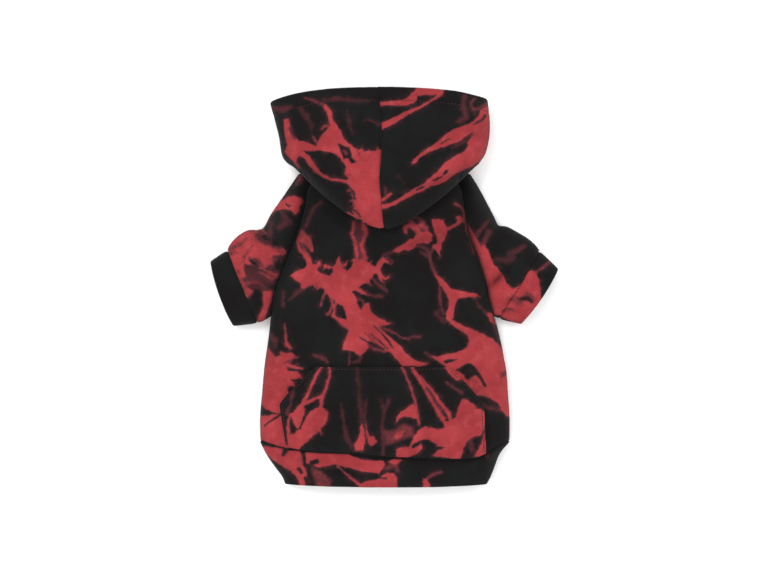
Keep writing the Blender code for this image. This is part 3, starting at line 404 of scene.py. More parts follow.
POCKET_DYE = (
    streak("red", 0.9, 323, 365, 1.4, 317, 374, 1.5, 312, 385, 1.6, 308, 395, 1.7, 302, 404, 1.8,
        297, 411, 2),
    streak("red", 0.85, 328, 362, 1.2, 330, 370, 1.5, 329, 379, 1.5, 326, 389, 1.5, 322, 397, 1.8,
        321, 408, 1.6),
    streak("red", 0.9, 304, 404, 1.5, 312, 400, 1.6, 321, 396, 1.4),
    outline("red", 1, 290, 414, 297, 410, 304, 405, 305, 410, 303, 418, 303, 425, 299, 429, 295, 425,
        293, 419),
    outline("red", 1, 303, 424, 306, 416, 311, 411, 317, 408, 324, 408, 328, 413, 327, 419, 325, 424,
        321, 428, 321, 431, 317, 431, 313, 435, 308, 441, 301, 446, 296, 456, 286, 458, 288, 440, 290, 434,
        296, 431, 302, 429),
    streak("red", 0.8, 320, 430, 0.8, 322, 434, 0.5),
    streak("red", 0.85, 312, 436, 0.6, 306, 439, 0.8, 320, 430, 0.7),
    streak("red", 0.55, 293, 392, 0.8, 291, 404, 0.8, 287, 414, 0.9),
    streak("red", 0.95, 291, 414, 0.9, 288.5, 422, 1.2, 288.5, 432, 1.4, 290, 443, 2),
    streak("black", 1, 292, 423, 1.2, 292.5, 427, 1.8, 294, 432, 2),
    outline("red", 0.95, 441, 361, 446, 364, 451, 368, 457, 373, 462, 377, 460, 381, 455, 380, 451, 376,
        447, 371),
    streak("black", 1, 300, 429, 0.6, 304, 420, 0.9, 309, 412, 0.7),
    streak("red", 0.34, 341, 404, 0.9, 343, 420, 1.4, 347, 438, 1.8, 352, 446, 2.4),
    streak("red", 0.3, 357, 368, 1, 359, 395, 1.5, 361, 415, 1.6, 362, 428, 1.6),
    streak("red", 0.35, 366, 400, 0.8, 365, 420, 1, 366, 432, 1),
    outline("red", 1, 362, 424, 364, 430, 365, 440, 363, 450, 355, 450, 355, 444, 359, 436),
    outline("red", 0.9, 366, 424, 369, 436, 374, 436, 377, 442, 371, 446, 368, 442, 366, 435),
    streak("red", 0.4, 381, 400, 0.8, 384, 411, 1, 382, 425, 1.2, 383, 440, 1.2, 383, 454, 1),
    streak("red", 0.4, 389, 400, 0.8, 386, 409, 1),
    outline("red", 0.5, 384, 430, 394, 429, 404, 423, 413, 427, 415, 436, 406, 438, 396, 442, 386, 444),
    outline("red", 0.8, 394, 436, 398, 431, 405, 431, 402, 436, 397, 439),
    streak("red", 0.8, 401, 365, 1.4, 406, 376, 1.2, 411, 388, 1.3, 415, 400, 1.3, 417, 412, 1.2,
        419, 424, 1.2),
    outline("red", 1, 413, 403, 416, 411, 417, 419, 412, 418, 405, 416, 400, 418, 396, 423, 396, 418,
        400, 412, 406, 409),
    streak("red", 0.9, 411, 366, 1.6, 417, 376, 1.8, 424, 386, 2, 431, 398, 2.4, 437, 408, 2.8,
        443, 419, 2.6),
    streak("red", 0.9, 420, 376, 0.8, 430, 388, 1.2, 440, 402, 1.8, 448, 413, 1.8, 451, 420, 1.5),
    outline("red", 1, 418, 430, 425, 426, 433, 428, 441, 429, 445, 427, 443, 421, 450, 421, 455, 417,
        459, 405, 462, 399, 467, 400, 472, 404, 478, 408, 490, 414, 484, 421, 484, 428, 481, 434, 474, 437,
        467, 440, 463, 448, 460, 460, 454, 461, 449, 457, 440, 456, 432, 455, 438, 450, 446, 448, 438, 446,
        430, 440, 424, 438, 420, 441, 422, 447, 417, 453, 409, 456, 402, 460, 396, 455, 396, 449, 403, 447,
        409, 446, 413, 438, 416, 434),
    streak("black", 1, 413, 446, 1.8, 417, 444, 2.2, 419, 442, 1.2),
    streak("black", 0.8, 426, 388, 0.4, 434, 400, 0.9, 444, 416, 0.7),
    streak("black", 0.6, 472, 411, 0.5, 477, 407, 0.8),
    streak("red", 0.6, 446, 382, 0.7, 454, 388, 0.9, 462, 393, 0.9),
    outline("red", 1, 484, 430, 485, 440, 489, 456, 480, 458, 474, 456, 478, 448, 482, 440),
    streak("red", 0.35, 470, 440, 2, 472, 450, 3),
)
BAND_DYE = (
    outline("red", 1, 255, 444, 272, 447, 282, 449, 290, 451, 300, 450, 303, 458, 304, 465, 307, 472,
        309, 480, 308, 490, 302, 490, 298, 478, 292, 470, 284, 466, 277, 461, 266, 452),
    streak("black", 0.95, 288, 447, 2.4, 286, 451, 3, 284, 454, 1.8),
    streak("black", 0.95, 306, 478, 2, 309, 484, 3.4),
    streak("black", 0.9, 299, 468, 2, 302, 472, 1.6),
    streak("black", 0.9, 311, 469, 1.6, 314, 472, 2),
    streak("black", 0.5, 302, 455, 1.6, 304, 462, 2.2, 307, 470, 1.4),
    outline("red", 1, 306, 450, 316, 452, 330, 453, 345, 452, 350, 455, 360, 459, 372, 461, 383, 460,
        385, 464, 382, 469, 379, 473, 372, 472, 362, 471, 352, 468, 343, 466, 335, 464, 325, 466, 318, 467,
        313, 464, 306, 462),
    streak("black", 1, 312, 462, 2, 317, 461, 2.6),
    streak("red", 0.9, 338, 466, 0.8, 346, 473, 1, 353, 479, 1.1, 361, 485, 1.2),
    outline("red", 1, 356, 492, 361, 484, 367, 480, 376, 479, 382, 475, 387, 472, 394, 473, 397, 478,
        397, 492),
    streak("black", 0.9, 371, 478, 0.8, 378, 477, 1, 386, 478, 0.8),
    outline("red", 0.5, 311, 466, 318, 469, 326, 474, 331, 481, 331, 490, 318, 490, 313, 476),
    streak("red", 0.7, 441, 471, 0.6, 433, 474, 1, 426, 479, 1.2),
    outline("red", 1, 423, 478, 428, 479, 431, 490, 424, 490),
    outline("red", 0.9, 388, 462, 396, 456, 404, 456, 401, 461, 395, 465),
    streak("red", 0.3, 484, 450, 2, 486, 456, 1.6),
    streak("red", 0.5, 381, 466, 1.6, 388, 467, 2.4, 396, 465, 2.6, 398, 470, 1.8),
)
LEFT_SLEEVE_DYE = (
    streak("red", 0.5, 299, 174, 1.6, 301, 180, 2.2, 297, 185, 1.2),
    outline("red", 0.9, 278, 204, 284, 200, 290, 197, 295, 196, 301, 198, 303, 202, 299, 206, 299, 211,
        295, 215, 291, 211, 284, 210, 277, 212, 271, 216, 268, 212),
    streak("black", 0.9, 287, 205, 0.8, 290, 206.5, 1.2),
    streak("red", 0.5, 272, 213, 2, 267, 222, 1.6, 263, 230, 1.6),
    streak("red", 0.3, 283, 214, 3, 288, 222, 3.5, 279, 228, 3),
    streak("red", 0.35, 272, 224, 1.5, 270, 236, 2.5),
    outline("red", 0.8, 218, 252, 226, 240, 240, 228, 254, 226, 264, 229, 268, 234, 262, 236, 258, 239,
        263, 242, 270, 245, 273, 248, 279, 251, 285, 251, 282, 254, 276, 257, 271, 260, 270, 265, 268, 271,
        262, 267, 257, 263, 252, 259, 249, 261, 254, 265, 248, 266, 244, 268, 246, 276, 243, 280, 247, 287,
        254, 291, 250, 296, 244, 300, 236, 285, 228, 262),
    streak("frayed", 0.7, 258, 239, 0.5, 270, 245, 0.6, 285, 251, 0.5, 272, 259, 0.6, 268, 270, 0.5),
    outline("black", 0.62, 254, 234, 262, 231, 270, 235, 280, 241, 286, 247, 278, 248, 270, 246, 262, 244,
        256, 240),
    streak("black", 0.5, 230, 250, 1.4, 240, 246, 2.2, 247, 240, 1.2),
    streak("black", 0.6, 228, 254, 1.2, 232, 254, 1.8, 237, 253, 1),
    streak("black", 0.42, 238, 272, 1.4, 243, 284, 2.2, 249, 294, 1.4),
    streak("black", 0.4, 248, 232, 1.2, 256, 234, 2, 258, 229, 1.4),
    streak("black", 0.55, 243, 262, 0.8, 246, 254, 1.2, 252, 247, 1),
    streak("black", 0.75, 250, 259, 1.4, 257, 261, 1.8, 262, 265, 1),
    streak("black", 0.6, 259, 233, 1.6, 264, 236, 2.2),
    outline("red", 0.35, 244, 268, 256, 266, 268, 271, 281, 269, 282, 277, 276, 285, 268, 292, 256, 290,
        247, 288, 243, 280),
    streak("red", 0.7, 252, 268, 0.8, 262, 272, 1, 271, 279, 1.4, 279, 274, 1),
    streak("red", 0.6, 245, 284, 1.2, 256, 282, 1.2, 266, 285, 1.4),
    streak("black", 0.8, 245, 266, 1.2, 254, 269, 2.4, 266, 270, 2, 275, 265, 2.2, 282, 261, 2.6),
    streak("black", 0.8, 274, 257, 1.4, 280, 258, 2.6, 285, 262, 2.2),
    streak("black", 0.5, 245, 278, 1, 251, 284, 2, 258, 292, 2),
    streak("black", 0.85, 265, 284, 1.2, 270, 287, 2.4, 277, 286, 2.2),
    streak("red", 0.8, 260, 267.5, 0.5, 269, 272, 0.8, 278, 276, 0.8),
    streak("black", 0.7, 248, 272, 1.2, 258, 276, 1.4, 266, 278, 1),
    outline("red", 0.92, 262, 292, 270, 290, 279, 291, 275, 297, 269, 304, 266, 312, 263, 328, 255, 328,
        258, 316, 262, 309, 263, 300),
)
RIGHT_SLEEVE_DYE = (
    streak("red", 0.9, 466, 221, 1.6, 469, 230, 3.2, 473, 240, 4.4, 478, 250, 4.6),
    streak("red", 0.4, 488, 221, 1.2, 482, 228, 1.8, 476, 236, 2),
    streak("red", 0.4, 489, 232, 2, 484, 242, 2.6, 478, 248, 2),
    outline("red", 1, 466, 236, 471, 240, 475, 250, 480, 250, 484, 245, 488, 251, 491, 258, 494, 265,
        499, 270, 504, 276, 507, 283, 513, 289, 516, 287, 521, 284, 525, 279, 528, 272, 532, 271, 536, 275,
        539, 281, 541, 290, 541, 302, 536, 312, 526, 320, 519, 323, 512, 320, 500, 314, 486, 314, 488, 306,
        488, 297, 484, 286, 480, 276, 476, 264, 471, 252),
    streak("black", 0.9, 521, 299, 1.5, 527, 298, 3, 531, 301, 2.2),
    streak("black", 0.45, 508, 298, 1.6, 518, 302, 3.4, 528, 294, 3.4, 534, 300, 2.4),
    streak("black", 0.4, 504, 312, 1.4, 512, 310, 2.2, 520, 312, 1),
    streak("black", 0.6, 510, 294, 0.8, 517, 297, 1.2, 522, 301, 0.8),
    streak("black", 0.7, 502, 310, 0.8, 508, 308, 1.2, 512, 308, 0.6),
    streak("red", 0.7, 534, 273, 1.6, 541, 269, 1.2, 550, 262, 1.1),
    streak("red", 0.36, 524, 246, 1.6, 518, 251, 2.6, 509, 254, 1.8),
    streak("red", 0.32, 497, 259, 2, 506, 261, 2.6, 514, 258, 1.6),
    outline("black", 0.7, 538, 276, 548, 282, 548, 300, 541, 296, 539, 286),
)

# Looks of the dye
FRAY = 0.6  # how far the dye's edges wander, in chart steps
FRAY_WAVES = ((0.8, 4.0), (0.4, 1.7))  # shares of that, each with the size of its waves in chart steps
DYE_EDGE = 0.85  # half width of the blur at a sharp edge, in chart steps
FAINT_BLUR = 2.6  # how much wider that gets as a shape gets fainter, as a share of it
DYE_MARGIN = 9.0  # chart steps round a shape within which it is looked up
FEATHER_PITCH, FEATHER_REACH = 1.7, 3.6  # between the points along a frayed streak, and how long they are
FEATHER_LENGTHS = (0.4, 0.6, 1.4)  # the least share of that, and the mean and the most that chance adds
FEATHER_LEAN = 0.5  # how far the points lean from straight out, in radians
FEATHER_SHAPE = ((0, 1.0), (0.5, 0.6), (1, 0.1))  # shares of the way out, and half widths in chart steps
FEATHER_SEED = 31
NOISE_CELLS = 64  # chance values each way before a noise repeats
HALO = 7.0  # how far the faint dye round a red shape reaches, in chart steps
HALO_CLEARED = 0.75  # how much of it a black shape takes away
HALO_CLEARING = (0.4, 4.0)  # share of that at the shape's edge, and chart steps over which it falls by 1
PAINTED_CREASE_SHADE = 300.0  # painted shade and light: how much darker the cloth's colour is painted per metre that a fold presses it down, or lighter if up
PAINTED_FOLD_SHADE_RANGE = (0.35, 1.12)  # the darkest painted shade and the brightest painted light that folds give
PAINTED_SIDE_SHADE = 0.38  # painted shade: how bright the cloth's colour is left where it stands upright, against where it lies flat
# the same painted shade on the pouch's upright edges
POCKET_PAINTED_SIDE_SHADE = 0.75
FLAT_ENOUGH, SIDE_POWER = 0.55, 1.5  # the normal's Z from which on the cloth gets no painted side shade, and the power of that shade's fade
HOOD_PAINTED_SHADE = 0.94  # painted shade over the whole hood, which stands nearer to the light
RED_BRIGHT, RED_DEEP, RED_PALE = (148, 50, 54), (130, 41, 45), (152, 62, 66)
RED_STAIN, RED_FAINT = (104, 38, 40), (74, 33, 38)
BLACK_WARM, BLACK_COOL, BLACK_STAIN = (14, 11, 11), (16, 17, 17), (52, 24, 28)

# Speckles of the materials: the size of the largest lumps in metres, the detail and the roughness
FRAYS = (0.0018, 4.0, 0.65)
THREADS = (0.0008, 2.0, 0.6)
CRACKS = (0.011, 3.0, 0.6)
CLOUDS = (0.030, 3.0, 0.55)
STAINS = (0.0075, 4.0, 0.62)
NAP = (0.0009, 3.0, 0.7)
TUFTS = (0.006, 2.0, 0.5)
TWIST = (0.0005, 2.0, 0.5)
GRAIN = (0.004, 2.0, 0.5)

# Looks of the cloth
EDGE_REST = 0.03  # least share of the wall's square left at a rounded edge
EDGE_STEPS = (0.15, 0.45)  # shares of a grid's first and last step at which closer lines are added
ARCH_STEPS = 4001  # at which an arch's length is measured
ALL_EDGES = ("start", "end", "left", "right")
MILLIMETRE = 0.001
SOFT_HEIGHT = 0.0009  # of the slight unevenness of soft cloth
SOFT_WAVES = ((1.0, 0.035), (0.45, 0.014), (0.12, 0.005))  # shares of that, each with the size of its waves
BACK_SEED = 21  # of the back panel's unevenness, which the pouch that lies on it has too
CUFF_SOFT, BAND_SOFT, HOOD_SOFT = 0.5, 0.8, 1.2  # shares of SOFT_HEIGHT
SIDE_CALM, SIDE_REST = 0.004, 0.25  # from the back's sides, where it fades, and the share that is left
HOOD_CALM_ACROSS = (0, 0.125)  # shares from the side fold to the centre between which it sets in
HOOD_CALM_ALONG = (0.2, 0.45)  # and from the neck to the brim
CUFF_CALM, BAND_CALM = (0.0024, 0.0104), (0.0030, 0.0130)  # heights between which a tube's unevenness sets in
FOLD_ENDS = (0.12, 0.88)  # shares of a fold's length between which it swells and sinks
SEAM_PULL, SEAM_PULL_SIZE = 0.35, 0.006  # how unevenly the stitches pull a seam down, and over what length
BACK_DIP, SLEEVE_DIP, CUFF_DIP = (0.0011, 0.0032), (0.0010, 0.0028), (0.0007, 0.0022)  # depths and widths
BAND_DIP, HOOD_DIP = (0.0012, 0.0030), (0.0012, 0.0024)
BRIM_CALM, BRIM_REST = 0.01, 0.2  # from the brim, where the hood's dip fades, and the share that is left
RAGLAN_DIP, RAGLAN_WIDTH = 0.0026, 0.0060  # of the valley along a raglan seam
RAGLAN_FADE = 0.1  # share of the torso over which that valley sets in, from the underarm on
CUFF_BOW = 0.0017  # how far a cuff's open edge bows out
GATHER_HEIGHT, GATHER_SIZE, GATHER_STRETCH = 0.0009, 0.007, 0.15  # of the gathers along the hem seam
GATHER_RUN = 0.55  # share of the hem band over which they fade
BRIM_ROLL, BRIM_ROLL_WIDTH = 0.0005, 0.007  # how far the doubled brim stands up, and how deep
BRIM_GROOVE, BRIM_GROOVE_WIDTH = 0.0006, 0.0012  # how deep its stitched row pulls, and how wide
HEM_TURN = 0.0013  # radius of the brim's turned edge
BRIM_HEM = 0.0095  # depth of the brim's hem
SEAM_LINE_Y = (0.030, 0.050, 0.077, 0.087, 0.102, 0.122, 0.141, 0.159)  # the hood's centre seam, in plan
SEAM_LINE_X = (-0.0008, -0.0008, -0.0040, -0.0050, -0.0026, -0.0020, -0.0032, -0.0048)
POCKET_LEAN = 0.0026  # how far the pouch's top lies to the left
POCKET_TUCK = 0.0018  # how far its left foot lies inwards
POCKET_STITCH = 0.0022  # from the pouch's edges to its stitched row
POCKET_GROOVE, POCKET_GROOVE_WIDTH = 0.00045, 0.0009  # how deep that pulls, and how wide
POCKET_GROOVE_START = (0.05, 0.10)  # shares up the pouch between which it sets in at the sides
POCKET_DIP, POCKET_DIP_WIDTH = 0.0009, 0.003  # of the seam at the pouch's base
STITCH_LONG, STITCH_PITCH, STITCH_THICK = 0.0020, 0.0028, 0.00027
STITCH_SHAPE = ((-0.5, 0.25), (-0.32, 0.9), (0.0, 1.0), (0.32, 0.9), (0.5, 0.25))  # shares along, thickness
STITCH_STAND, STITCH_SINK = 0.35, 2.2  # how far its middle stands off the cloth, and its ends go down
STITCH_SIDES = 6

# Steps of the grids. An arch's steps are even along it for a rise, which is a share of its half width.
BACK_ACROSS, BACK_RISE, BACK_ALONG = 200, 0.3, 212
BELLY_ALONG, BELLY_EDGE, BELLY_FLAT = 90, 10, 70
SLEEVE_OPEN, SLEEVE_TUBE = 62, 26  # rings before and after the underarm
SLEEVE_ACROSS, CUFF_ACROSS, LIMB_RISE, CUFF_ALONG = 56, 60, 0.5, 20
LIMB_EDGE, LIMB_FLAT = 8, 26  # of the undersides of sleeves and cuffs
BAND_ACROSS, BAND_ARCH_RISE, BAND_ALONG, BAND_FIRST = 170, 0.3, 40, 0.02
BAND_EDGE, BAND_FLAT = 10, 80
HOOD_ACROSS, HOOD_ARCH_RISE, HOOD_ALONG = 185, 0.28, 150
HOOD_UNDER_EDGE, HOOD_UNDER_FLAT = 12, 80
NECK_STEPS = 7  # down the hood's neck edge to the seam
BRIM_TURN_STEPS, BRIM_HEM_STEPS = 8, 9
POCKET_ACROSS, POCKET_ALONG = 150, 62

# How far the hem seam sags in plan at places across, to lie as in the photo
HEM_SAG_X = (
    -0.100, -0.070, -0.045, -0.026, -0.010, 0.006, 0.028, 0.048, 0.062, 0.073, 0.081, 0.087, 0.092, 0.1,
)
HEM_SAG = (
    0.0, 0.0, -0.0016, -0.0024, -0.0010, 0.0006, 0.0012, 0.0030, 0.0048, 0.0058, 0.0046, 0.0016, 0.0, 0.0,
)
HEM_SAG_Y = -0.133  # where the sag is whole
HEM_SAG_ABOVE, HEM_SAG_BELOW = 0.034, 0.0265  # how far it fades

# A fold: a line from one place of the chart to another, its half width in chart steps, and its height in mm.
# Its height also paints shade into the cloth's colour where it presses down, and light where it lifts.
# The hood's shade on the back is given in the same way, but it only darkens the cloth.
TORSO_FOLDS = (
    (300, 250, 292, 300, 7, 0.8), (456, 262, 470, 310, 7, 0.8), (345, 300, 350, 355, 10, 0.5),
    (420, 300, 415, 350, 10, 0.5), (300, 445, 306, 420, 4, 0.8), (345, 452, 347, 428, 4, 0.6),
    (365, 452, 362, 418, 4, 0.7), (383, 452, 384, 425, 4, 0.6), (420, 452, 418, 425, 4, 0.7),
    (455, 452, 452, 430, 4, 0.6), (478, 452, 474, 430, 4, 0.7),
)
HOOD_SHADE = (
    (296, 176, 340, 220, 8, -1.1), (340, 220, 396, 250, 8, -1.3), (396, 250, 440, 236, 8, -1.3),
    (440, 236, 486, 190, 8, -1.1),
)
BAND_FOLDS = (
    (290, 452, 300, 478, 4, 0.6), (340, 456, 345, 480, 5, 0.5), (400, 458, 402, 480, 5, 0.5),
    (470, 455, 462, 478, 4, 0.6),
)
LEFT_FOLDS = (
    (262, 232, 280, 252, 4, -1.4), (236, 246, 262, 262, 7, 1.0), (246, 288, 272, 280, 4, -0.9),
    (285, 205, 280, 235, 6, 0.8),
)
RIGHT_FOLDS = (
    (507, 271, 487, 289, 4, -2.2), (515, 262, 520, 300, 7, 1.0), (478, 235, 486, 262, 5, 0.8),
    (500, 308, 515, 296, 3, -1.0),
)
HOOD_FOLDS = (
    (300, 150, 372, 172, 9, 0.8), (300, 166, 352, 196, 7, -0.8), (362, 188, 366, 222, 7, 1.0),
    (470, 150, 400, 190, 9, 0.8), (472, 166, 396, 206, 7, -0.8), (330, 100, 350, 140, 12, 0.6),
    (430, 100, 420, 140, 12, 0.6),
)
POCKET_FOLDS = (
    (325, 372, 318, 400, 4, 0.5), (400, 372, 414, 405, 5, 0.5), (430, 380, 452, 412, 5, 0.5),
    (362, 372, 362, 440, 5, 0.4),
)

# Stage
FLOOR_SIZE, FLOOR_GAP = 12, 0.0002
WORLD_LIGHT = 1.3
LIGHTS = (  # name, place, size and power
    ("key", (-0.8, 0.9, 2.0), 0.9, 19.0),
    ("fill", (1.1, -0.9, 1.8), 1.6, 5.0),
)
SENSOR_WIDTH = 36  # of the camera, in mm
PICTURE_WIDTH = 768  # in chart steps


def column(columns, rows, name):
    """One named column of a table."""
    return np.array(rows, float)[:, columns.index(name)]


def spline(knots, values, at):
    """A smooth curve through a table's values, cubic between rows."""
    knots, values, at = (np.asarray(a, float) for a in (knots, values, at))
    slopes = np.gradient(values, knots, axis=0)
    row = np.clip(np.searchsorted(knots, at, side="right") - 1, 0, len(knots) - 2)
    step = knots[row + 1] - knots[row]
    share = np.clip((at - knots[row]) / step, 0.0, 1.0)
    shape = np.shape(share) + (1,) * (values.ndim - 1)
    step, share = step.reshape(shape), share.reshape(shape)
    return (
        (1 + 2 * share) * (1 - share) ** 2 * values[row]
        + share**2 * (3 - 2 * share) * values[row + 1]
        + share * (1 - share) ** 2 * step * slopes[row]
        - share**2 * (1 - share) * step * slopes[row + 1]
    )


def arch(share, power=ARCH_POWER):
    """Height of an arch, 1 in the middle and 0 at share -1 and 1, where it stands upright."""
    return (1 - np.minimum(np.abs(share), 1) ** power) ** (1 / power)


def bow(share):
    """Depth of the hem's bow at a share across, 1 in the middle and 0 at the sides."""
    left, right = BOW_POWERS
    return 1 - np.abs(share) ** np.where(share < 0, left, right)


def beside(x, y, start, end):
    """The share of the way along a line that lies nearest to each place, and how far off the place is."""
    (start_x, start_y), (end_x, end_y) = start, end
    run_x, run_y = end_x - start_x, end_y - start_y
    share = np.clip(((x - start_x) * run_x + (y - start_y) * run_y) / (run_x**2 + run_y**2), 0, 1)
    return share, np.hypot(x - start_x - share * run_x, y - start_y - share * run_y)


def between(first, last, share):
    """Points on the lines from first to last, at shares from -1 to 1."""
    return first + ((1 + share) / 2)[..., None] * (last - first)


def distances(points, axis=0):
    """How far each point of one line, or of each of a grid's lines along an axis, lies from its start."""
    steps = np.linalg.norm(np.diff(points, axis=axis), axis=-1)
    start = np.zeros_like(np.take(steps, [0], axis=axis))
    return np.concatenate([start, np.cumsum(steps, axis=axis)], axis=axis)


def ramp(value, low, high):
    """0 up to low, 1 from high on, and an even rise between."""
    return np.clip((value - low) / (high - low), 0, 1)


def creases(x, y):
    """How far the creases press the top layer down at a place in plan: each a bell across its line."""
    total = 0.0
    for values in CREASE_ROWS:
        row = dict(zip(CREASE_COLUMNS, values))
        start = (row["start_x"] * TORSO_WIDTH / 2, NECK_Y - row["start_y"] * TORSO_LENGTH)
        end = (row["end_x"] * TORSO_WIDTH / 2, NECK_Y - row["end_y"] * TORSO_LENGTH)
        share, off = beside(x, y, start, end)
        fade = CREASE_END + (1 - CREASE_END) * np.sin(np.pi * share)
        total = total + row["depth"] * fade * np.exp(-((off / (row["width"] * CREASE_WIDTH)) ** 2))
    return CREASE_DEPTH * total


def torso_at(along):
    """The torso's named sizes at shares along it, in metres."""
    knots = column(TORSO_COLUMNS, TORSO_ROWS, "along")
    wholes = (TORSO_WIDTH / 2, TORSO_WIDTH / 2, TORSO_RISE, SIDE_HEIGHT, SIDE_HEIGHT, HEM_BOW)
    size = {}
    for name, whole in zip(TORSO_COLUMNS[1:], wholes):
        size[name] = whole * spline(knots, column(TORSO_COLUMNS, TORSO_ROWS, name), along)
    return size


def torso_plan(share, along, extra_bow=0.0):
    """X and Y of the torso at shares across and along it."""
    size = torso_at(along)
    x = (size["right"] - size["left"]) / 2 + share * (size["right"] + size["left"]) / 2
    y = HEM_SEAM_Y + along * TORSO_LENGTH - (size["bow"] + extra_bow) * bow(share)
    return x, y, size


def torso_top(share, along):
    """The middle of the back panel's wall: an arch from one side seam or raglan seam to the other."""
    x, y, size = torso_plan(share, along)
    rise = arch(share)
    z = size["side"] + (size["crown"] - size["side"]) * rise - creases(x, y) * rise
    return np.stack(np.broadcast_arrays(x, y, z), axis=-1)


def torso_height(x, y):
    """Height of the back panel's wall over a place in plan, found in a few rounds because of the bow."""
    along = np.clip((y - HEM_SEAM_Y) / TORSO_LENGTH, 0, 1)
    for _ in range(5):
        size = torso_at(along)
        middle, half = (size["right"] - size["left"]) / 2, (size["right"] + size["left"]) / 2
        share = np.clip((x - middle) / half, -1, 1)
        along = np.clip((y + size["bow"] * bow(share) - HEM_SEAM_Y) / TORSO_LENGTH, 0, 1)
    return torso_top(share, along)[..., 2]


def throat_scoop(along):
    """Extra bow of the belly panel, which is cut lower towards the neckline."""
    return THROAT_SCOOP * ramp(along, THROAT_START, 1) ** 2


def sleeve_seam(side, seam, run):
    """Plan point, upper height and lower height of a sleeve's seam edge, for shares from 1 down to -1."""
    along = UNDERARM + (1 - UNDERARM) * np.clip(seam, 0, 1)
    x, y, size = torso_plan(float(side), along)
    past = np.clip(-seam, 0, 1)
    out, down = run
    x = x + side * (BESIDE + past * out * UNDERARM_RUN)
    y = y - past * down * UNDERARM_RUN
    return np.stack([x, y], axis=-1), size["side"], size["lip"]


def sleeve_row(table, stations):
    """The named columns of a sleeve's table at stations between its rows."""
    knots = np.arange(len(table))
    return {name: spline(knots, column(SLEEVE_COLUMNS, table, name), stations) for name in SLEEVE_COLUMNS}


def sleeve_fold(side, row):
    """Plan points of a sleeve's shoulder fold."""
    neck_x, neck_y = neck_side(side)
    reach = SLEEVE_SPAN - abs(neck_x)
    return np.stack([neck_x + side * row["reach"] * reach, neck_y - row["drop"] * SLEEVE_DROP], axis=-1)


def neck_side(side):
    """The neck point of one side in plan, where the shoulder fold meets the hood."""
    x, y, _ = torso_plan(float(side), np.array(1.0))
    return x + side * SLEEVE_HEAD_OUT, y + SLEEVE_HEAD_UP


def hood_y(share):
    """Y of a hood share: of HOOD_REACH above the neck point, and of HOOD_FALL below it."""
    return NECK_Y + np.where(share > 0, share * HOOD_REACH, share * HOOD_FALL)


def hood_side(row, way):
    """Plan point of a hood section's side fold: the left one where way is negative, or the right one."""
    points = []
    for side, name in ((-1, "left"), (1, "right")):
        neck_x, neck_y = neck_side(side)
        out = row[f"{name}_out"] * (HOOD_WIDTH / 2 - abs(neck_x))
        up = row[f"{name}_up"] * (NECK_Y + HOOD_REACH - neck_y)
        points.append((neck_x + side * out, neck_y + up))
    (left_x, left_y), (right_x, right_y) = points
    return np.where(way < 0, left_x, right_x), np.where(way < 0, left_y, right_y)


def past_raglan(x, raglan):
    """How far places along the hood's edge lie from the raglan seam, at 0, to the outermost one, at 1."""
    return ramp(np.abs(x), raglan, np.abs(x).max())


def neck_line(x, side_y, scoop):
    """Y of the hood's neck seam: past the torso's top edge, and then past the sleeve's to the side fold."""
    size = torso_at(np.array(1.0))
    raglan = np.where(x < 0, size["left"], size["right"])
    _, edge_y, _ = torso_plan(np.clip(x / raglan, -1, 1), np.array(1.0), scoop)
    start_y = edge_y + NECK_GAP
    return start_y + (side_y - start_y) * past_raglan(x, raglan)


def noise(x, y, size, seed):
    """Smooth noise from -1 to 1 over a plane: chance values a size apart, eased between."""
    table = np.random.default_rng(seed).uniform(-1, 1, (NOISE_CELLS, NOISE_CELLS))
    u, v = x / size, y / size
    i, j = np.floor(u).astype(int), np.floor(v).astype(int)
    a, b = u - i, v - j
    a, b = a * a * (3 - 2 * a), b * b * (3 - 2 * b)
    i, j, next_i, next_j = (k % NOISE_CELLS for k in (i, j, i + 1, j + 1))
    low = table[i, j] * (1 - a) + table[next_i, j] * a
    high = table[i, next_j] * (1 - a) + table[next_i, next_j] * a
    return low * (1 - b) + high * b


def waves(x, y, table, seed):
    """Noises added up over a plane, by a table of each one's share and size."""
    return sum(share * noise(x, y, size, seed + k) for k, (share, size) in enumerate(table))


def charted(x, y):
    """The chart's place of a place in plan."""
    return CHART_ORIGIN[0] + x / CHART_STEP, CHART_ORIGIN[1] - y / CHART_STEP


def outline_distance(x, y, corners):
    """Distance in the chart to a closed outline, negative inside it."""
    best, inside = np.full(x.shape, np.inf), np.zeros(x.shape, bool)
    for start, end in zip(corners, corners[1:] + corners[:1]):
        _, off = beside(x, y, start, end)
        best = np.minimum(best, off)
        (start_x, start_y), (end_x, end_y) = start, end
        if start_y != end_y:
            cross_x = start_x + (y - start_y) * (end_x - start_x) / (end_y - start_y)
            inside ^= ((start_y > y) != (end_y > y)) & (x < cross_x)
    return np.where(inside, -best, best)


def streak_distance(x, y, points):
    """Distance in the chart to a streak's edge, negative inside it. The half width changes evenly."""
    best = np.full(x.shape, np.inf)
    for (*start, first), (*end, last) in zip(points, points[1:]):
        share, off = beside(x, y, start, end)
        best = np.minimum(best, off - first - share * (last - first))
    return best


def feathered(chart):
    """A chart with short red points added along both sides of its frayed streaks.

    Each starts anywhere on the streak, leans a little from straight out of it, and narrows to its tip.
    """
    chance, shapes = np.random.default_rng(FEATHER_SEED), []
    least, mean, most = FEATHER_LENGTHS
    for colour, strength, shape in chart:
        shapes.append(("black" if colour == "black" else "red", strength, shape))
        if colour != "frayed":
            continue
        corners = np.array(shape)[:, :2]
        for corner, run in zip(corners, np.diff(corners, axis=0)):
            for _ in range(int(np.hypot(*run) / FEATHER_PITCH + chance.random())):
                out = np.arctan2(run[0], -run[1]) + np.pi * (chance.random() < 0.5)
                angle = out + chance.normal(0, FEATHER_LEAN)
                reach = FEATHER_REACH * (least + min(chance.exponential(mean), most))
                start, way = corner + chance.random() * run, np.array([np.cos(angle), np.sin(angle)])
                points = [(*(start + share * reach * way), width) for share, width in FEATHER_SHAPE]
                shapes.append(("red", strength, tuple(points)))
    return shapes


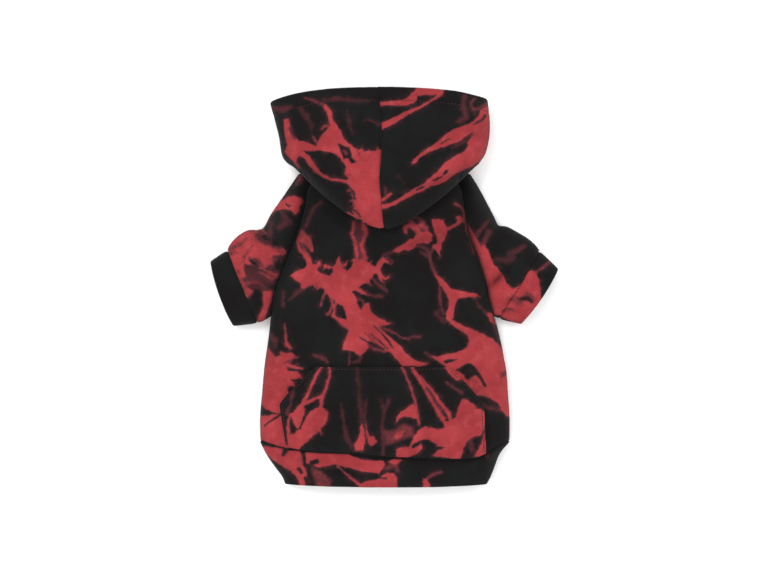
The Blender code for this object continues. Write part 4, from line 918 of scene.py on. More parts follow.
def dye_at(points, chart, mirrored=False):
    """How red the cloth is at points, and how near to red, from 0 to 1, by a chart seen from VIEW_HEIGHT.

    A shape's cover falls from 1 to 0 across its blurred edge. A red shape raises both numbers and a black one
    lowers them. mirrored swaps left and right, as for a side that is hidden from view.
    """
    flat = points.reshape(-1, 3)
    spread = (VIEW_HEIGHT - CHART_HEIGHT) / (VIEW_HEIGHT - flat[:, 2])
    x, y = charted(flat[:, 0] * spread * (-1 if mirrored else 1), flat[:, 1] * spread)
    x, y = x + FRAY * waves(x, y, FRAY_WAVES, 11), y + FRAY * waves(x, y, FRAY_WAVES, 13)
    red, halo = np.zeros(len(flat)), np.zeros(len(flat))
    for colour, strength, shape in feathered(chart):
        corners = np.array([corner[:2] for corner in shape])
        low, high = corners.min(0) - DYE_MARGIN, corners.max(0) + DYE_MARGIN
        near = (x > low[0]) & (x < high[0]) & (y > low[1]) & (y < high[1])
        if not near.any():
            continue
        measure = outline_distance if len(shape[0]) == 2 else streak_distance
        off = measure(x[near], y[near], shape)
        blur = DYE_EDGE * (1 + FAINT_BLUR * (1 - strength))
        cover = np.clip(0.5 - off / (2 * blur), 0, 1)
        part = red[near]
        if colour == "red":
            red[near] = np.maximum(part, part + (strength - part) * cover)
            halo[near] = np.maximum(halo[near], strength * np.clip(1 - off / HALO, 0, 1) ** 2)
        else:
            red[near] = np.minimum(part, part + (1 - strength - part) * cover)
            cleared = np.clip(HALO_CLEARING[0] - off / HALO_CLEARING[1], 0, 1)
            halo[near] = np.minimum(halo[near], 1 - HALO_CLEARED * strength * cleared)
    return np.stack([red, halo], axis=-1).reshape(*points.shape[:-1], 2)


def edged(count, step=None):
    """Even shares from 0 to 1, with closer ones added at both ends, where the cloth's edge is rounded."""
    shares = np.linspace(0, 1, count)
    near = (step or 1 / count) * np.array(EDGE_STEPS)
    return np.concatenate([shares[:1], near, shares[1:-1], 1 - near[::-1], shares[-1:]])


def even(count, rise):
    """Shares from -1 to 1 whose steps are even along an arch that rises by a share of its half width."""
    fine = -np.cos(np.linspace(0, np.pi, ARCH_STEPS))
    run = distances(np.column_stack([fine, rise * arch(fine)]))
    return np.interp(edged(count), run / run[-1], fine)


def normals_of(points, wraps=False):
    """Unit normals of a grid of points that face out: up on its upper side and down on its lower one."""
    if wraps:
        ring = np.concatenate([points[:, -1:], points, points[:, :1]], axis=1)
        along = ring[:, 2:] - ring[:, :-2]
    else:
        along = np.gradient(points, axis=1)
    normal = np.cross(along, np.gradient(points, axis=0))
    normal /= np.maximum(np.linalg.norm(normal, axis=-1, keepdims=True), 1e-12)
    return normal * way_out(points, normal)


def way_out(points, normal):
    """1 if a grid's normals face out of the garment, and -1 if they face in."""
    height = points[..., 2] - points[..., 2].mean()
    return 1 if (normal[..., 2] * height).sum() > 0 else -1


def edge_distances(points, edges):
    """Distance over the cloth, up to a metre, from each point to the nearest of the named edges."""
    best = np.full(points.shape[:2], 1.0)
    for axis, first, last in ((0, "start", "end"), (1, "left", "right")):
        run = distances(points, axis)
        if first in edges:
            best = np.minimum(best, run)
        if last in edges:
            best = np.minimum(best, np.take(run, [-1], axis=axis) - run)
    return best


def linked(name, data):
    """A new object in the scene that holds a mesh, a light or a camera."""
    made = bpy.data.objects.new(name, data)
    bpy.context.scene.collection.objects.link(made)
    return made


def grid_squares(rows, columns, wraps, opened):
    """The four corners of each square of a grid, whose sides are joined as cloth says."""
    ring = np.arange(rows * columns).reshape(rows, columns)
    if wraps:
        ring = np.concatenate([ring, ring[:, :1]], axis=1)
    squares = np.stack([ring[:-1, :-1], ring[:-1, 1:], ring[1:, 1:], ring[1:, :-1]], axis=-1)
    if wraps and opened is not None:
        squares = np.concatenate([squares[:, :-1].reshape(-1, 4), squares[opened:, -1]])
    return squares.reshape(-1, 4)


def border_of(faces):
    """The edges of a mesh that only one face has, as that face runs along them."""
    ahead = np.concatenate([faces[:, [i, (i + 1) % 4]] for i in range(4)])
    size = faces.max() + 1
    forward, back = ahead[:, 0] * size + ahead[:, 1], ahead[:, 1] * size + ahead[:, 0]
    return ahead[~np.isin(forward, back)]


def cloth(name, points, wall, nodes, slot, dye, edges, wraps=False, opened=None, painted_shading=1.0, side=PAINTED_SIDE_SHADE):
    """A piece of cloth: a closed mesh with an outer and an inner skin half a wall either side of a grid.

    edges names the grid's free edges, where the wall thins in a quarter circle. wraps joins the last column
    to the first, from the row opened on if that is given. dye is how red and how near to red each point is.
    The outer skin's colour is multiplied by the painted shading given for each point, and side is the share
    of its brightness that painted shade leaves where the cloth stands upright.
    """
    normal = normals_of(points, wraps and opened is None)
    near = edge_distances(points, edges)
    rounding = np.sqrt(np.clip(1 - (1 - np.minimum(near / (0.5 * wall), 1)) ** 2, EDGE_REST, 1))
    half = (0.5 * wall * rounding)[..., None] * normal
    # how flat the cloth lies, which sets how much painted shade its upright sides get
    level = np.clip(np.abs(normal[..., 2]) / FLAT_ENOUGH, 0, 1) ** SIDE_POWER
    outer = grid_squares(*points.shape[:2], wraps, opened)
    inner = outer + near.size
    middle = outer[len(outer) // 2]
    corners = points.reshape(-1, 3)[middle]
    square_normal = np.cross(corners[1] - corners[0], corners[3] - corners[0])
    if square_normal @ normal.reshape(-1, 3)[middle[0]] > 0:
        inner = inner[:, ::-1]
    else:
        outer = outer[:, ::-1]
    border = border_of(outer)
    rim = np.concatenate([border[:, ::-1], border + near.size], axis=1)
    used, faces = np.unique(np.concatenate([outer, inner, rim]), return_inverse=True)
    faces = faces.reshape(-1, 4)
    vertices = np.concatenate([(points + half).reshape(-1, 3), (points - half).reshape(-1, 3)])[used]
    mesh = bpy.data.meshes.new(name)
    mesh.from_pydata(vertices.tolist(), [], faces.tolist())
    # the painted shading: painted shade and light from folds, times painted shade where the cloth stands
    # upright
    add_attributes(mesh, points, dye, painted_shading * (side + (1 - side) * level), used, faces)
    mesh.materials.append(MATERIALS[slot])
    mesh.materials.append(MATERIALS["inside"])
    inside = np.zeros(len(faces), np.int32)
    inside[len(outer) : len(outer) + len(inner)] = 1
    mesh.polygons.foreach_set("material_index", inside)
    mesh.shade_smooth()
    mesh.update()
    piece = linked(name, mesh)
    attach(piece, "root")
    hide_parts(*([nodes] if isinstance(nodes, str) else nodes))
    return piece


def add_attributes(mesh, points, dye, painted_shading, used, faces):
    """Gives both skins their dye, halo and painted shading at each point, and the weave's place in metres as
    a UV map.

    The weave's place is measured along the grid's middle row and down its middle column.
    """
    rows, columns = points.shape[:2]
    for name, values in (("dye", dye[..., 0]), ("halo", dye[..., 1]), ("painted_shading", painted_shading)):
        both = np.tile(values.ravel(), 2)[used]
        mesh.attributes.new(name, "FLOAT", "POINT").data.foreach_set("value", both.astype(np.float32))
    v, u = np.meshgrid(distances(points[:, columns // 2]), distances(points[rows // 2]), indexing="ij")
    weave = np.tile(np.stack([u.ravel(), v.ravel()], axis=-1), (2, 1))[used][faces.ravel()]
    mesh.uv_layers.new(name="weave").data.foreach_set("uv", weave.ravel().astype(np.float32))


def sagged(points):
    """Points moved in plan so that the hem seam lies as in the photo.

    y falls by the table's sag at x times s * s * (3 - 2 * s), where s falls from 1 to 0 over the reach.
    """
    off = points[..., 1] - HEM_SAG_Y
    near = np.clip(1 - np.abs(off) / np.where(off > 0, HEM_SAG_ABOVE, HEM_SAG_BELOW), 0, 1)
    points = points.copy()
    points[..., 1] -= spline(HEM_SAG_X, HEM_SAG, points[..., 0]) * near**2 * (3 - 2 * near)
    return points


def folds(points, rows):
    """How far a table of folds lifts the cloth over plan places.

    Each fold is a bell across its line, and a half wave along it that is cut short at the ends.
    """
    total = np.zeros(points.shape[:-1])
    x, y = charted(points[..., 0], points[..., 1])
    for start_x, start_y, end_x, end_y, width, height in rows:
        share, off = beside(x, y, (start_x, start_y), (end_x, end_y))
        total += height * np.sin(np.pi * np.clip(share, *FOLD_ENDS)) * np.exp(-((off / width) ** 2))
    return MILLIMETRE * total


def painted_fold_shade(lift):
    """Painted shade and light: the cloth's colour is darkened where folds press it down and lightened where
    they lift it, as creases catch less light.
    """
    return np.clip(1 + PAINTED_CREASE_SHADE * lift, *PAINTED_FOLD_SHADE_RANGE)


def seam_dip(points, edges, size, seed):
    """How far the cloth dips towards a seam at its edges, a little unevenly where the stitches pull it."""
    depth, width = size
    near = edge_distances(points, edges)
    pull = 1 + SEAM_PULL * noise(points[..., 0] + points[..., 2], points[..., 1], SEAM_PULL_SIZE, seed)
    return depth * pull * np.exp(-((near / width) ** 2))


def raglan_valley(near, past):
    """Depth of a raglan seam's valley, by the distance from it and the torso's share past the underarm."""
    return RAGLAN_DIP * np.exp(-((near / RAGLAN_WIDTH) ** 2)) * ramp(past, 0, RAGLAN_FADE)


def softness(points, seed):
    """Slight unevenness of soft cloth: waves of three sizes."""
    return SOFT_HEIGHT * waves(points[..., 0], points[..., 1], SOFT_WAVES, seed)


def raised(points, amount, wraps=False):
    """A grid moved out along its normals."""
    return points + normals_of(points, wraps) * amount[..., None]


class Value:
    """A socket of a material's node tree, whose operators make Math nodes."""

    def __init__(self, tree, socket):
        self.tree, self.socket = tree, socket

    def math(self, operation, *inputs):
        """A Math node of an operation."""
        return node(self.tree, "ShaderNodeMath", "Value", *inputs, operation=operation)

    def __add__(self, other):
        return self.math("ADD", self, other)

    def __radd__(self, other):
        return self.math("ADD", other, self)

    def __sub__(self, other):
        return self.math("SUBTRACT", self, other)

    def __rsub__(self, other):
        return self.math("SUBTRACT", other, self)

    def __mul__(self, other):
        return self.math("MULTIPLY", self, other)

    def __rmul__(self, other):
        return self.math("MULTIPLY", other, self)

    def __abs__(self):
        return self.math("ABSOLUTE", self)

    def sine(self):
        """The sine of an angle in radians."""
        return self.math("SINE", self)

    def clamped(self):
        """Kept from 0 to 1."""
        return self.math("MINIMUM", self.math("MAXIMUM", self, 0.0), 1.0)

    def ease(self, low, high):
        """0 up to low, 1 from high on, and smooth between."""
        inputs = (self, low, high, 0.0, 1.0)
        return node(self.tree, "ShaderNodeMapRange", "Result", *inputs, interpolation_type="SMOOTHSTEP")


def node(tree, kind, output, *inputs, named=None, **settings):
    """Makes a node from its settings and its inputs, in order or by name, and gives one output as a Value."""
    made = tree.nodes.new(kind)
    for key, value in settings.items():
        setattr(made, key, value)
    for key, value in [*enumerate(inputs), *(named or {}).items()]:
        if isinstance(value, Value):
            tree.links.new(value.socket, made.inputs[key])
        else:
            made.inputs[key].default_value = value
    return Value(tree, made.outputs[output])


def mix(tree, factor, first, second, blend="MIX"):
    """A colour mixed from two: Values, or tuples of red, green and blue."""
    first, second = (c if isinstance(c, Value) else (*c, 1.0) for c in (first, second))
    named = {0: factor, 6: first, 7: second}
    return node(tree, "ShaderNodeMix", 2, named=named, data_type="RGBA", blend_type=blend)


def attribute(tree, name):
    """One of the numbers that the mesh carries at each point."""
    return node(tree, "ShaderNodeAttribute", "Fac", attribute_name=name)


def speckle(tree, place, size, detail, roughness):
    """Noise from about 0 to 1 whose largest lumps are a size apart."""
    named = {"Vector": place, "Scale": 1 / size, "Detail": detail, "Roughness": roughness}
    return node(tree, "ShaderNodeTexNoise", "Fac", named=named)


def linear(colour):
    """A colour given in display values, as the linear ones that a shader takes."""
    return tuple(((c / 255 + 0.055) / 1.055) ** 2.4 if c > 10 else c / 255 / 12.92 for c in colour)


def new_material(name):
    """A material with an empty Principled shader, its node tree, and Object coordinates."""
    material = bpy.data.materials.new(name)
    material.use_nodes = True
    tree = material.node_tree
    return material, tree, tree.nodes["Principled BSDF"], node(tree, "ShaderNodeTexCoord", "Object")


def finish_cloth(tree, shader, colour, rough, height, strength=0.6, sheen=0.04):
    """Joins a cloth's colour, roughness and height to its shader."""
    named = {"Strength": strength, "Distance": 1.0, "Height": height}
    tree.links.new(colour.socket, shader.inputs["Base Color"])
    tree.links.new(rough.socket, shader.inputs["Roughness"])
    tree.links.new(node(tree, "ShaderNodeBump", "Normal", named=named).socket, shader.inputs["Normal"])
    shader.inputs["Sheen Weight"].default_value = sheen
    shader.inputs["Sheen Roughness"].default_value = 0.5
    shader.inputs["Specular IOR Level"].default_value = 0.10


def weave_wave(tree, direction, period):
    """A wave over the weave map, along its X across the wales or along its Y across the courses of a knit."""
    place = node(tree, "ShaderNodeUVMap", "UV", uv_map="weave")
    return (node(tree, "ShaderNodeSeparateXYZ", direction, place) * (2 * math.pi / period)).sine()


def dyed_cloth(name, wale, course, height, wale_relief):
    """Brushed tie-dyed knit: its dye frays and stains at its edges, and wales and fuzz show in its relief.

    The dye's amount is the charted redness with three speckles added, and thin veins where the halo is. It
    mixes a mottled black and a mottled red, which is multiplied by the painted shading that the mesh carries
    and by the knit's waves and a speckle. The relief adds up the knit's waves and two speckles.
    """
    material, tree, shader, place = new_material(name)
    frays, threads, clouds, stains = (speckle(tree, place, *s) for s in (FRAYS, THREADS, CLOUDS, STAINS))
    dye, halo = attribute(tree, "dye"), attribute(tree, "halo")
    cracks = abs(speckle(tree, place, *CRACKS) - 0.5)
    veins = (1 - cracks * 16).clamped() * halo * halo * 0.55
    spread = (frays - 0.5) * 0.36 + (stains - 0.5) * 0.3 + (threads - 0.5) * 0.18
    amount = (dye * 1.16 - 0.08 + spread + veins * (1 - dye)).clamped()
    red = mix(tree, clouds.ease(0.3, 0.7), linear(RED_DEEP), linear(RED_BRIGHT))
    red = mix(tree, stains.ease(0.48, 0.75) * 0.55, red, linear(RED_PALE))
    red = mix(tree, (1 - stains).ease(0.56, 0.74) * (1.25 - dye), red, linear(RED_STAIN))
    black = mix(tree, clouds.ease(0.35, 0.65), linear(BLACK_WARM), linear(BLACK_COOL))
    black = mix(tree, halo * stains.ease(0.36, 0.62) * 0.9, black, linear(BLACK_STAIN))
    black = mix(tree, (amount * 2).clamped(), black, linear(RED_FAINT))
    colour = mix(tree, amount.ease(0.38, 0.98), black, red)
    wales, courses = weave_wave(tree, "X", wale), weave_wave(tree, "Y", course)
    # painted shading that the mesh carries, times the knit's waves and a speckle
    painted_shade_and_weave = attribute(tree, "painted_shading") * (1 + wales * 0.05 + courses * 0.02) * (0.84 + threads * 0.32)
    grey = node(tree, "ShaderNodeCombineColor", "Color", painted_shade_and_weave, painted_shade_and_weave, painted_shade_and_weave)
    relief = (wales * wale_relief + courses * 0.25) * height
    relief = relief + (threads - 0.5) * height * 1.6 + (frays - 0.5) * height * 1.4
    finish_cloth(tree, shader, mix(tree, 1.0, colour, grey, "MULTIPLY"), 0.84 + threads * 0.12, relief)
    return material


def inside_cloth():
    """The brushed inner face of the fleece: plain charcoal with a soft short nap."""
    material, tree, shader, place = new_material("inside")
    nap, tufts = speckle(tree, place, *NAP), speckle(tree, place, *TUFTS)
    colour = mix(tree, nap, linear((22, 19, 20)), linear((42, 37, 38)))
    colour = mix(tree, (tufts - 0.3).clamped() * 0.5, colour, linear((31, 26, 28)))
    finish_cloth(tree, shader, colour, 0.88 + nap * 0.1, nap * 0.0006 + tufts * 0.0006, 0.8, 0.1)
    return material


def thread_material():
    """Sewing thread, black with a slight lustre and twist."""
    material, tree, shader, place = new_material("thread")
    twist = speckle(tree, place, *TWIST)
    colour = mix(tree, twist, linear((36, 18, 20)), linear((70, 32, 36)))
    finish_cloth(tree, shader, colour, 0.55 + twist * 0.2, twist * 0.0001, 0.5, 0.1)
    return material


def floor_material():
    """A plain pale matt floor."""
    material, tree, shader, place = new_material("floor")
    grain = speckle(tree, place, *GRAIN)
    colour = mix(tree, grain, linear((250, 250, 250)), linear((255, 255, 255)))
    tree.links.new(colour.socket, shader.inputs["Base Color"])
    tree.links.new((0.85 + grain * 0.1).socket, shader.inputs["Roughness"])
    shader.inputs["Specular IOR Level"].default_value = 0.1
    return material


def underside(first_edge, last_edge, arc_steps, flat_steps):
    """Shares from 1 to -1 along an underside and how far each has come down: quarter ellipses at the ends."""
    turn = np.linspace(0, np.pi / 2, arc_steps)
    first_edge, last_edge = np.atleast_1d(first_edge)[:, None], np.atleast_1d(last_edge)[:, None]
    first = 1 - first_edge * (1 - np.cos(turn))
    last = -1 + last_edge * (1 - np.cos(turn[::-1]))
    flat = np.linspace(0, 1, flat_steps + 1)[1:-1]
    middle = (1 - first_edge) + (last_edge + first_edge - 2) * flat
    shares = np.concatenate([first, middle, last], axis=1)
    drops = np.concatenate([np.sin(turn), np.ones(len(flat)), np.sin(turn[::-1])])
    return shares, np.broadcast_to(drops, shares.shape)


def tube_ring(over, half, edge, rise, arc_steps, flat_steps):
    """Shares from -1 to 1 round a folded tube of knit and the height of each.

    The top is an arch over the shares given, which stands a rise over the edges. The underside comes down
    from the edges to the floor in quarter ellipses of FOLD_WIDTH.
    """
    under, drop = underside(FOLD_WIDTH / half, FOLD_WIDTH / half, arc_steps, flat_steps)
    low = RIB / 2 + (edge - RIB / 2) * (1 - drop[0, 1:-1])
    return np.concatenate([over, under[0, 1:-1]]), np.concatenate([edge + rise * arch(over), low])


def build_back():
    """The back panel: arches from the hem seam to the nape, with a valley along each raglan seam."""
    along = edged(BACK_ALONG)[:, None]
    points = sagged(torso_top(even(BACK_ACROSS, BACK_RISE)[None, :], along))
    side = edge_distances(points, ("left", "right"))
    valley = raglan_valley(side, along - UNDERARM)
    points[..., 2] -= valley
    pressed = folds(points, TORSO_FOLDS)
    lift = softness(points, BACK_SEED) + pressed
    lift -= seam_dip(points, ("start", "left", "right"), BACK_DIP, 22)
    lift *= np.clip(side / SIDE_CALM, SIDE_REST, 1)
    dye = dye_at(points, TORSO_DYE)
    # painted shade in the folds and the raglan valleys, painted light on ridges, and the hood's painted
    # shadow
    painted_shading = painted_fold_shade(pressed - valley + folds(points, HOOD_SHADE))
    return cloth("back", raised(points, lift), CLOTH, "back_panel", "fleece", dye, ALL_EDGES, painted_shading=painted_shading)


def build_belly():
    """The belly panel: flat on the floor, with edges that turn up, narrower at the raglan seams."""
    along = np.linspace(0, 1, BELLY_ALONG)
    size = torso_at(along)
    half = (size["right"] + size["left"]) / 2
    closed = 1 - ramp(along, UNDERARM, UNDERARM + LIP_RUN)
    edge = (LIP_WIDTH + (FOLD_WIDTH - LIP_WIDTH) * closed) / half
    share, drop = underside(edge, edge, BELLY_EDGE, BELLY_FLAT)
    x, y, _ = torso_plan(share, along[:, None], throat_scoop(along[:, None]))
    lip = (size["lip"] - SEAM_GAP * closed)[:, None]
    points = sagged(np.stack([x, y, FLOOR + (lip - FLOOR) * (1 - drop)], axis=-1))
    dye = dye_at(points, TORSO_DYE, mirrored=True)
    return cloth("belly", points, CLOTH, "belly_panel", "fleece", dye, ALL_EDGES)


def build_torso():
    """The back and belly panels, which are sewn together at their sides."""
    back = build_back()
    belly = build_belly()


def build_sleeve(name, side, table, run, cuff, chart, table_folds, seed):
    """A raglan sleeve and its cuff. The sleeve is made of rings, which are closed from the underarm on.

    A ring runs over the top from the seam to the shoulder fold, as an arch that turns into a parabola towards
    the neck, and back along the underside.
    """
    before = np.linspace(0, UNDERARM_ROW, SLEEVE_OPEN)
    past = np.linspace(UNDERARM_ROW, len(table) - 1, SLEEVE_TUBE)[1:]
    row = sleeve_row(table, np.concatenate([before, past]))
    seam, upper, lower = sleeve_seam(side, row["seam"], run)
    fold = sleeve_fold(side, row)
    half = np.linalg.norm(fold - seam, axis=-1) / 2
    past_underarm = row["seam"] * (1 - UNDERARM)
    opened = ramp(past_underarm, 0, LIP_RUN)
    edge = np.minimum(FOLD_WIDTH / half, EDGE_LIMIT)
    seam_edge = np.minimum((FOLD_WIDTH + (LIP_WIDTH - FOLD_WIDTH) * opened) / half, EDGE_LIMIT)

    steep = even(SLEEVE_ACROSS, LIMB_RISE)[None, :]
    level = np.linspace(-1, 1, steep.shape[1])[None, :]
    flatter = np.clip(row["seam"], 0, 1)[:, None]
    share = steep + (level - steep) * flatter
    swell = arch(share) * (1 - flatter) + (1 - share**2) * flatter
    plan = between(seam[:, None], fold[:, None], share)
    way = (1 + share) / 2
    z = upper[:, None] * (1 - way) + SLEEVE_EDGE * way
    z += (row["rise"][:, None] * SLEEVE_RISE - creases(plan[..., 0], plan[..., 1])) * swell
    top = np.concatenate([plan, z[..., None]], axis=-1)
    share, drop = underside(edge, seam_edge, LIMB_EDGE, LIMB_FLAT)
    plan = between(seam[:, None], fold[:, None], share)
    end = np.where(share > 0, SLEEVE_EDGE, lower[:, None])
    under = np.concatenate([plan, (FLOOR + (end - FLOOR) * (1 - drop))[..., None]], axis=-1)
    points = np.concatenate([top, under[:, 1:]], axis=1)

    on_top, valley = np.zeros(points.shape[:2]), np.zeros(points.shape[:2])
    on_top[:, : top.shape[1]] = swell.clip(0, 1) ** 0.5
    valley[:, : top.shape[1]] = raglan_valley(edge_distances(top, ("left",)), past_underarm[:, None])
    pressed = folds(points, table_folds) * on_top
    lift = softness(points, seed) * on_top + pressed
    lift -= seam_dip(points, ("end",), SLEEVE_DIP, seed)
    points = raised(points, lift)
    points[..., 2] -= valley
    # painted shade in the sleeve's creases and raglan valley, and painted light on its ridges
    piece = cloth(
        f"{name}_sleeve_cloth", points, CLOTH, f"{name}_sleeve", "fleece", dye_at(points, chart),
        ("start", "end"), wraps=True, opened=SLEEVE_OPEN - 1, painted_shading=painted_fold_shade(pressed - valley),
    )
    build_cuff(name, side, seam[-1], fold[-1], cuff, seed)


def build_cuff(name, side, under, shoulder, moves, seed):
    """A cuff: a folded tube from the sleeve's last ring, which it gathers, to an open edge that bows out."""
    middle = (under + shoulder) / 2
    under, shoulder = (middle + (end - middle) * CUFF_TAPER for end in (under, shoulder))
    move = dict(zip(CUFF_COLUMNS, np.array(moves) * CUFF_DEPTH))
    shoulder_run = np.array([side * move["shoulder_out"], -move["shoulder_down"]])
    under_run = np.array([side * move["under_out"], -move["under_down"]])
    ahead = (shoulder_run + under_run) / np.linalg.norm(shoulder_run + under_run)
    over = even(CUFF_ACROSS, LIMB_RISE)
    rings = []
    for along in edged(CUFF_ALONG):
        first, last = under + along * under_run, shoulder + along * shoulder_run
        rise = CUFF_RISE + (CUFF_END_RISE - CUFF_RISE) * along
        half = np.linalg.norm(last - first) / 2
        share, z = tube_ring(over, half, SLEEVE_EDGE, rise, LIMB_EDGE, LIMB_FLAT)
        plan = between(first, last, share) + CUFF_BOW * along * (1 - share**2)[:, None] * ahead
        rings.append(np.column_stack([plan, z]))
    points = np.array(rings)
    lift = CUFF_SOFT * softness(points, seed + 5) * ramp(points[..., 2], *CUFF_CALM)
    lift -= seam_dip(points, ("start",), CUFF_DIP, seed + 6)
    points = raised(points, lift, wraps=True)
    dye = dye_at(points, RIGHT_SLEEVE_DYE if side > 0 else ())
    piece = cloth(
        f"{name}_cuff_knit", points, RIB, f"{name}_cuff", "rib", dye, ("start", "end"), wraps=True
    )


def build_hem_band():
    """The hem band: a folded tube that follows the torso's open end and gathers it a little."""
    seam = torso_at(np.array(0.0))
    over = even(BAND_ACROSS, BAND_ARCH_RISE)
    knots = column(BAND_COLUMNS, BAND_ROWS, "along")
    rings = []
    for along in edged(BAND_ALONG, BAND_FIRST):
        left_in = spline(knots, column(BAND_COLUMNS, BAND_ROWS, "left_in"), along)
        right_in = spline(knots, column(BAND_COLUMNS, BAND_ROWS, "right_in"), along)
        left = seam["left"] + (BAND_HALF_WIDTH - BAND_SHIFT - seam["left"]) * left_in
        right = seam["right"] + (BAND_HALF_WIDTH + BAND_SHIFT - seam["right"]) * right_in
        middle, half = (right - left) / 2, (right + left) / 2
        crown = seam["crown"] + (BAND_RISE - seam["crown"]) * along
        depth = HEM_BOW + (BAND_BOW - HEM_BOW) * along
        side_y = HEM_SEAM_Y - (BAND_LENGTH - BAND_BOW) * along
        share, z = tube_ring(over, half, seam["side"], crown - seam["side"], BAND_EDGE, BAND_FLAT)
        rings.append(np.column_stack([middle + share * half, side_y - depth * bow(share), z]))
    points = sagged(np.array(rings))
    x, y = points[..., 0], points[..., 1]
    fade = 1 - ramp(np.linspace(0, 1, len(points))[:, None], 0, GATHER_RUN)
    gathers = GATHER_HEIGHT * fade * noise(x, y * GATHER_STRETCH, GATHER_SIZE, 44)
    lift = BAND_SOFT * softness(points, 41) + gathers + folds(points, BAND_FOLDS)
    lift *= ramp(points[..., 2], *BAND_CALM)
    upward = normals_of(points, wraps=True)[..., 2].clip(0, 1)
    lift -= seam_dip(points, ("start",), BAND_DIP, 42) * upward
    points = raised(points, lift, wraps=True)
    piece = cloth(
        "hem_band_cloth", points, RIB, ("hem_band_back", "hem_band_belly"), "fleece",
        dye_at(points, BAND_DYE), ("start", "end"), wraps=True,
    )


def hood_net(share, under_share, drop):
    """The hood's sections as two grids, the upper layer and the underside, from the left side fold on.

    Each section bends in plan from its side folds to its middle, and its top is an arch between them.
    """
    nape = torso_top(np.array(0.0), np.array(1.0))[2]
    upper, lower = [], []
    for number, values in enumerate(HOOD_ROWS):
        row = dict(zip(HOOD_COLUMNS, values))
        side_z = SLEEVE_EDGE + row["side"] * (HOOD_SIDE - SLEEVE_EDGE)
        plans = []
        for way, middle, scoop in ((share, "centre", 0.0), (under_share, "throat", THROAT_SCOOP)):
            side_x, side_y = hood_side(row, way)
            x = np.abs(way) * side_x
            y = side_y + (hood_y(row[middle]) - side_y) * (1 - np.abs(way) ** row["point"])
            plans.append((x, neck_line(x, side_y, scoop) if number == 0 else y))
        (x, y), (under_x, under_y) = plans
        loft = row["loft"] * HOOD_LOFT
        if row["rests"]:
            crown = torso_height(x, y) + CLOTH + LAY_GAP + loft * (1 - HOOD_THINNING * share**2)
        else:
            crown = nape + loft
        upper.append(np.stack([x, y, side_z + (crown - side_z) * arch(share, row["boxy"])], axis=-1))
        lower.append(np.stack([under_x, under_y, FLOOR + (side_z - FLOOR) * (1 - drop)], axis=-1))
    return np.array(upper), np.array(lower)


def turned_hem(points):
    """Adds rows past a grid's last one that fold the cloth under itself: half a circle, and then straight."""
    normal = normals_of(points)[-1]
    ahead = points[-1] - points[-4]
    ahead -= (ahead * normal).sum(-1, keepdims=True) * normal
    ahead /= np.maximum(np.linalg.norm(ahead, axis=-1, keepdims=True), 1e-9)
    turn = np.linspace(0, np.pi, BRIM_TURN_STEPS + 1)[1:, None, None]
    round_rows = points[-1] + HEM_TURN * (np.sin(turn) * ahead - (1 - np.cos(turn)) * normal)
    back = np.linspace(0, 1, BRIM_HEM_STEPS + 1)[1:, None, None]
    return np.concatenate([points, round_rows, round_rows[-1] - BRIM_HEM * back * ahead])


def hood_layers():
    """The hood's upper layer and underside, in even steps from its neck seam to the brim, and those steps.

    The upper layer's first rows come down to the edge of the torso and the sleeves, where it is sewn on.
    """
    half = even(HOOD_ACROSS, HOOD_ARCH_RISE)
    half = half - half[len(half) // 2]
    under_share, drop = underside(HOOD_EDGE, HOOD_EDGE, HOOD_UNDER_EDGE, HOOD_UNDER_FLAT)
    upper, lower = hood_net(half, under_share[0], drop[0])
    knots = distances(upper[:, len(half) // 2])
    stations = edged(HOOD_ALONG) * (knots[-1] - HEM_TURN)
    upper, lower = spline(knots, upper, stations), spline(knots, lower, stations)
    way = past_raglan(upper[0, :, 0], abs(torso_plan(np.sign(half), 1.0)[0]))
    seam = upper[0].copy()
    seam[:, 1] -= NECK_GAP / 2
    seam[:, 2] = torso_height(seam[:, 0], seam[:, 1]) * (1 - way) + SLEEVE_EDGE * way
    steps = np.linspace(0, 1, NECK_STEPS + 1)[:-1, None, None]
    upper = np.concatenate([seam + steps * (upper[0] - seam), upper])
    lower = np.concatenate([lower[0] - (1 - steps) * np.array([0, NECK_GAP / 2, 0]), lower])
    return upper, lower, np.concatenate([np.zeros(NECK_STEPS), stations])


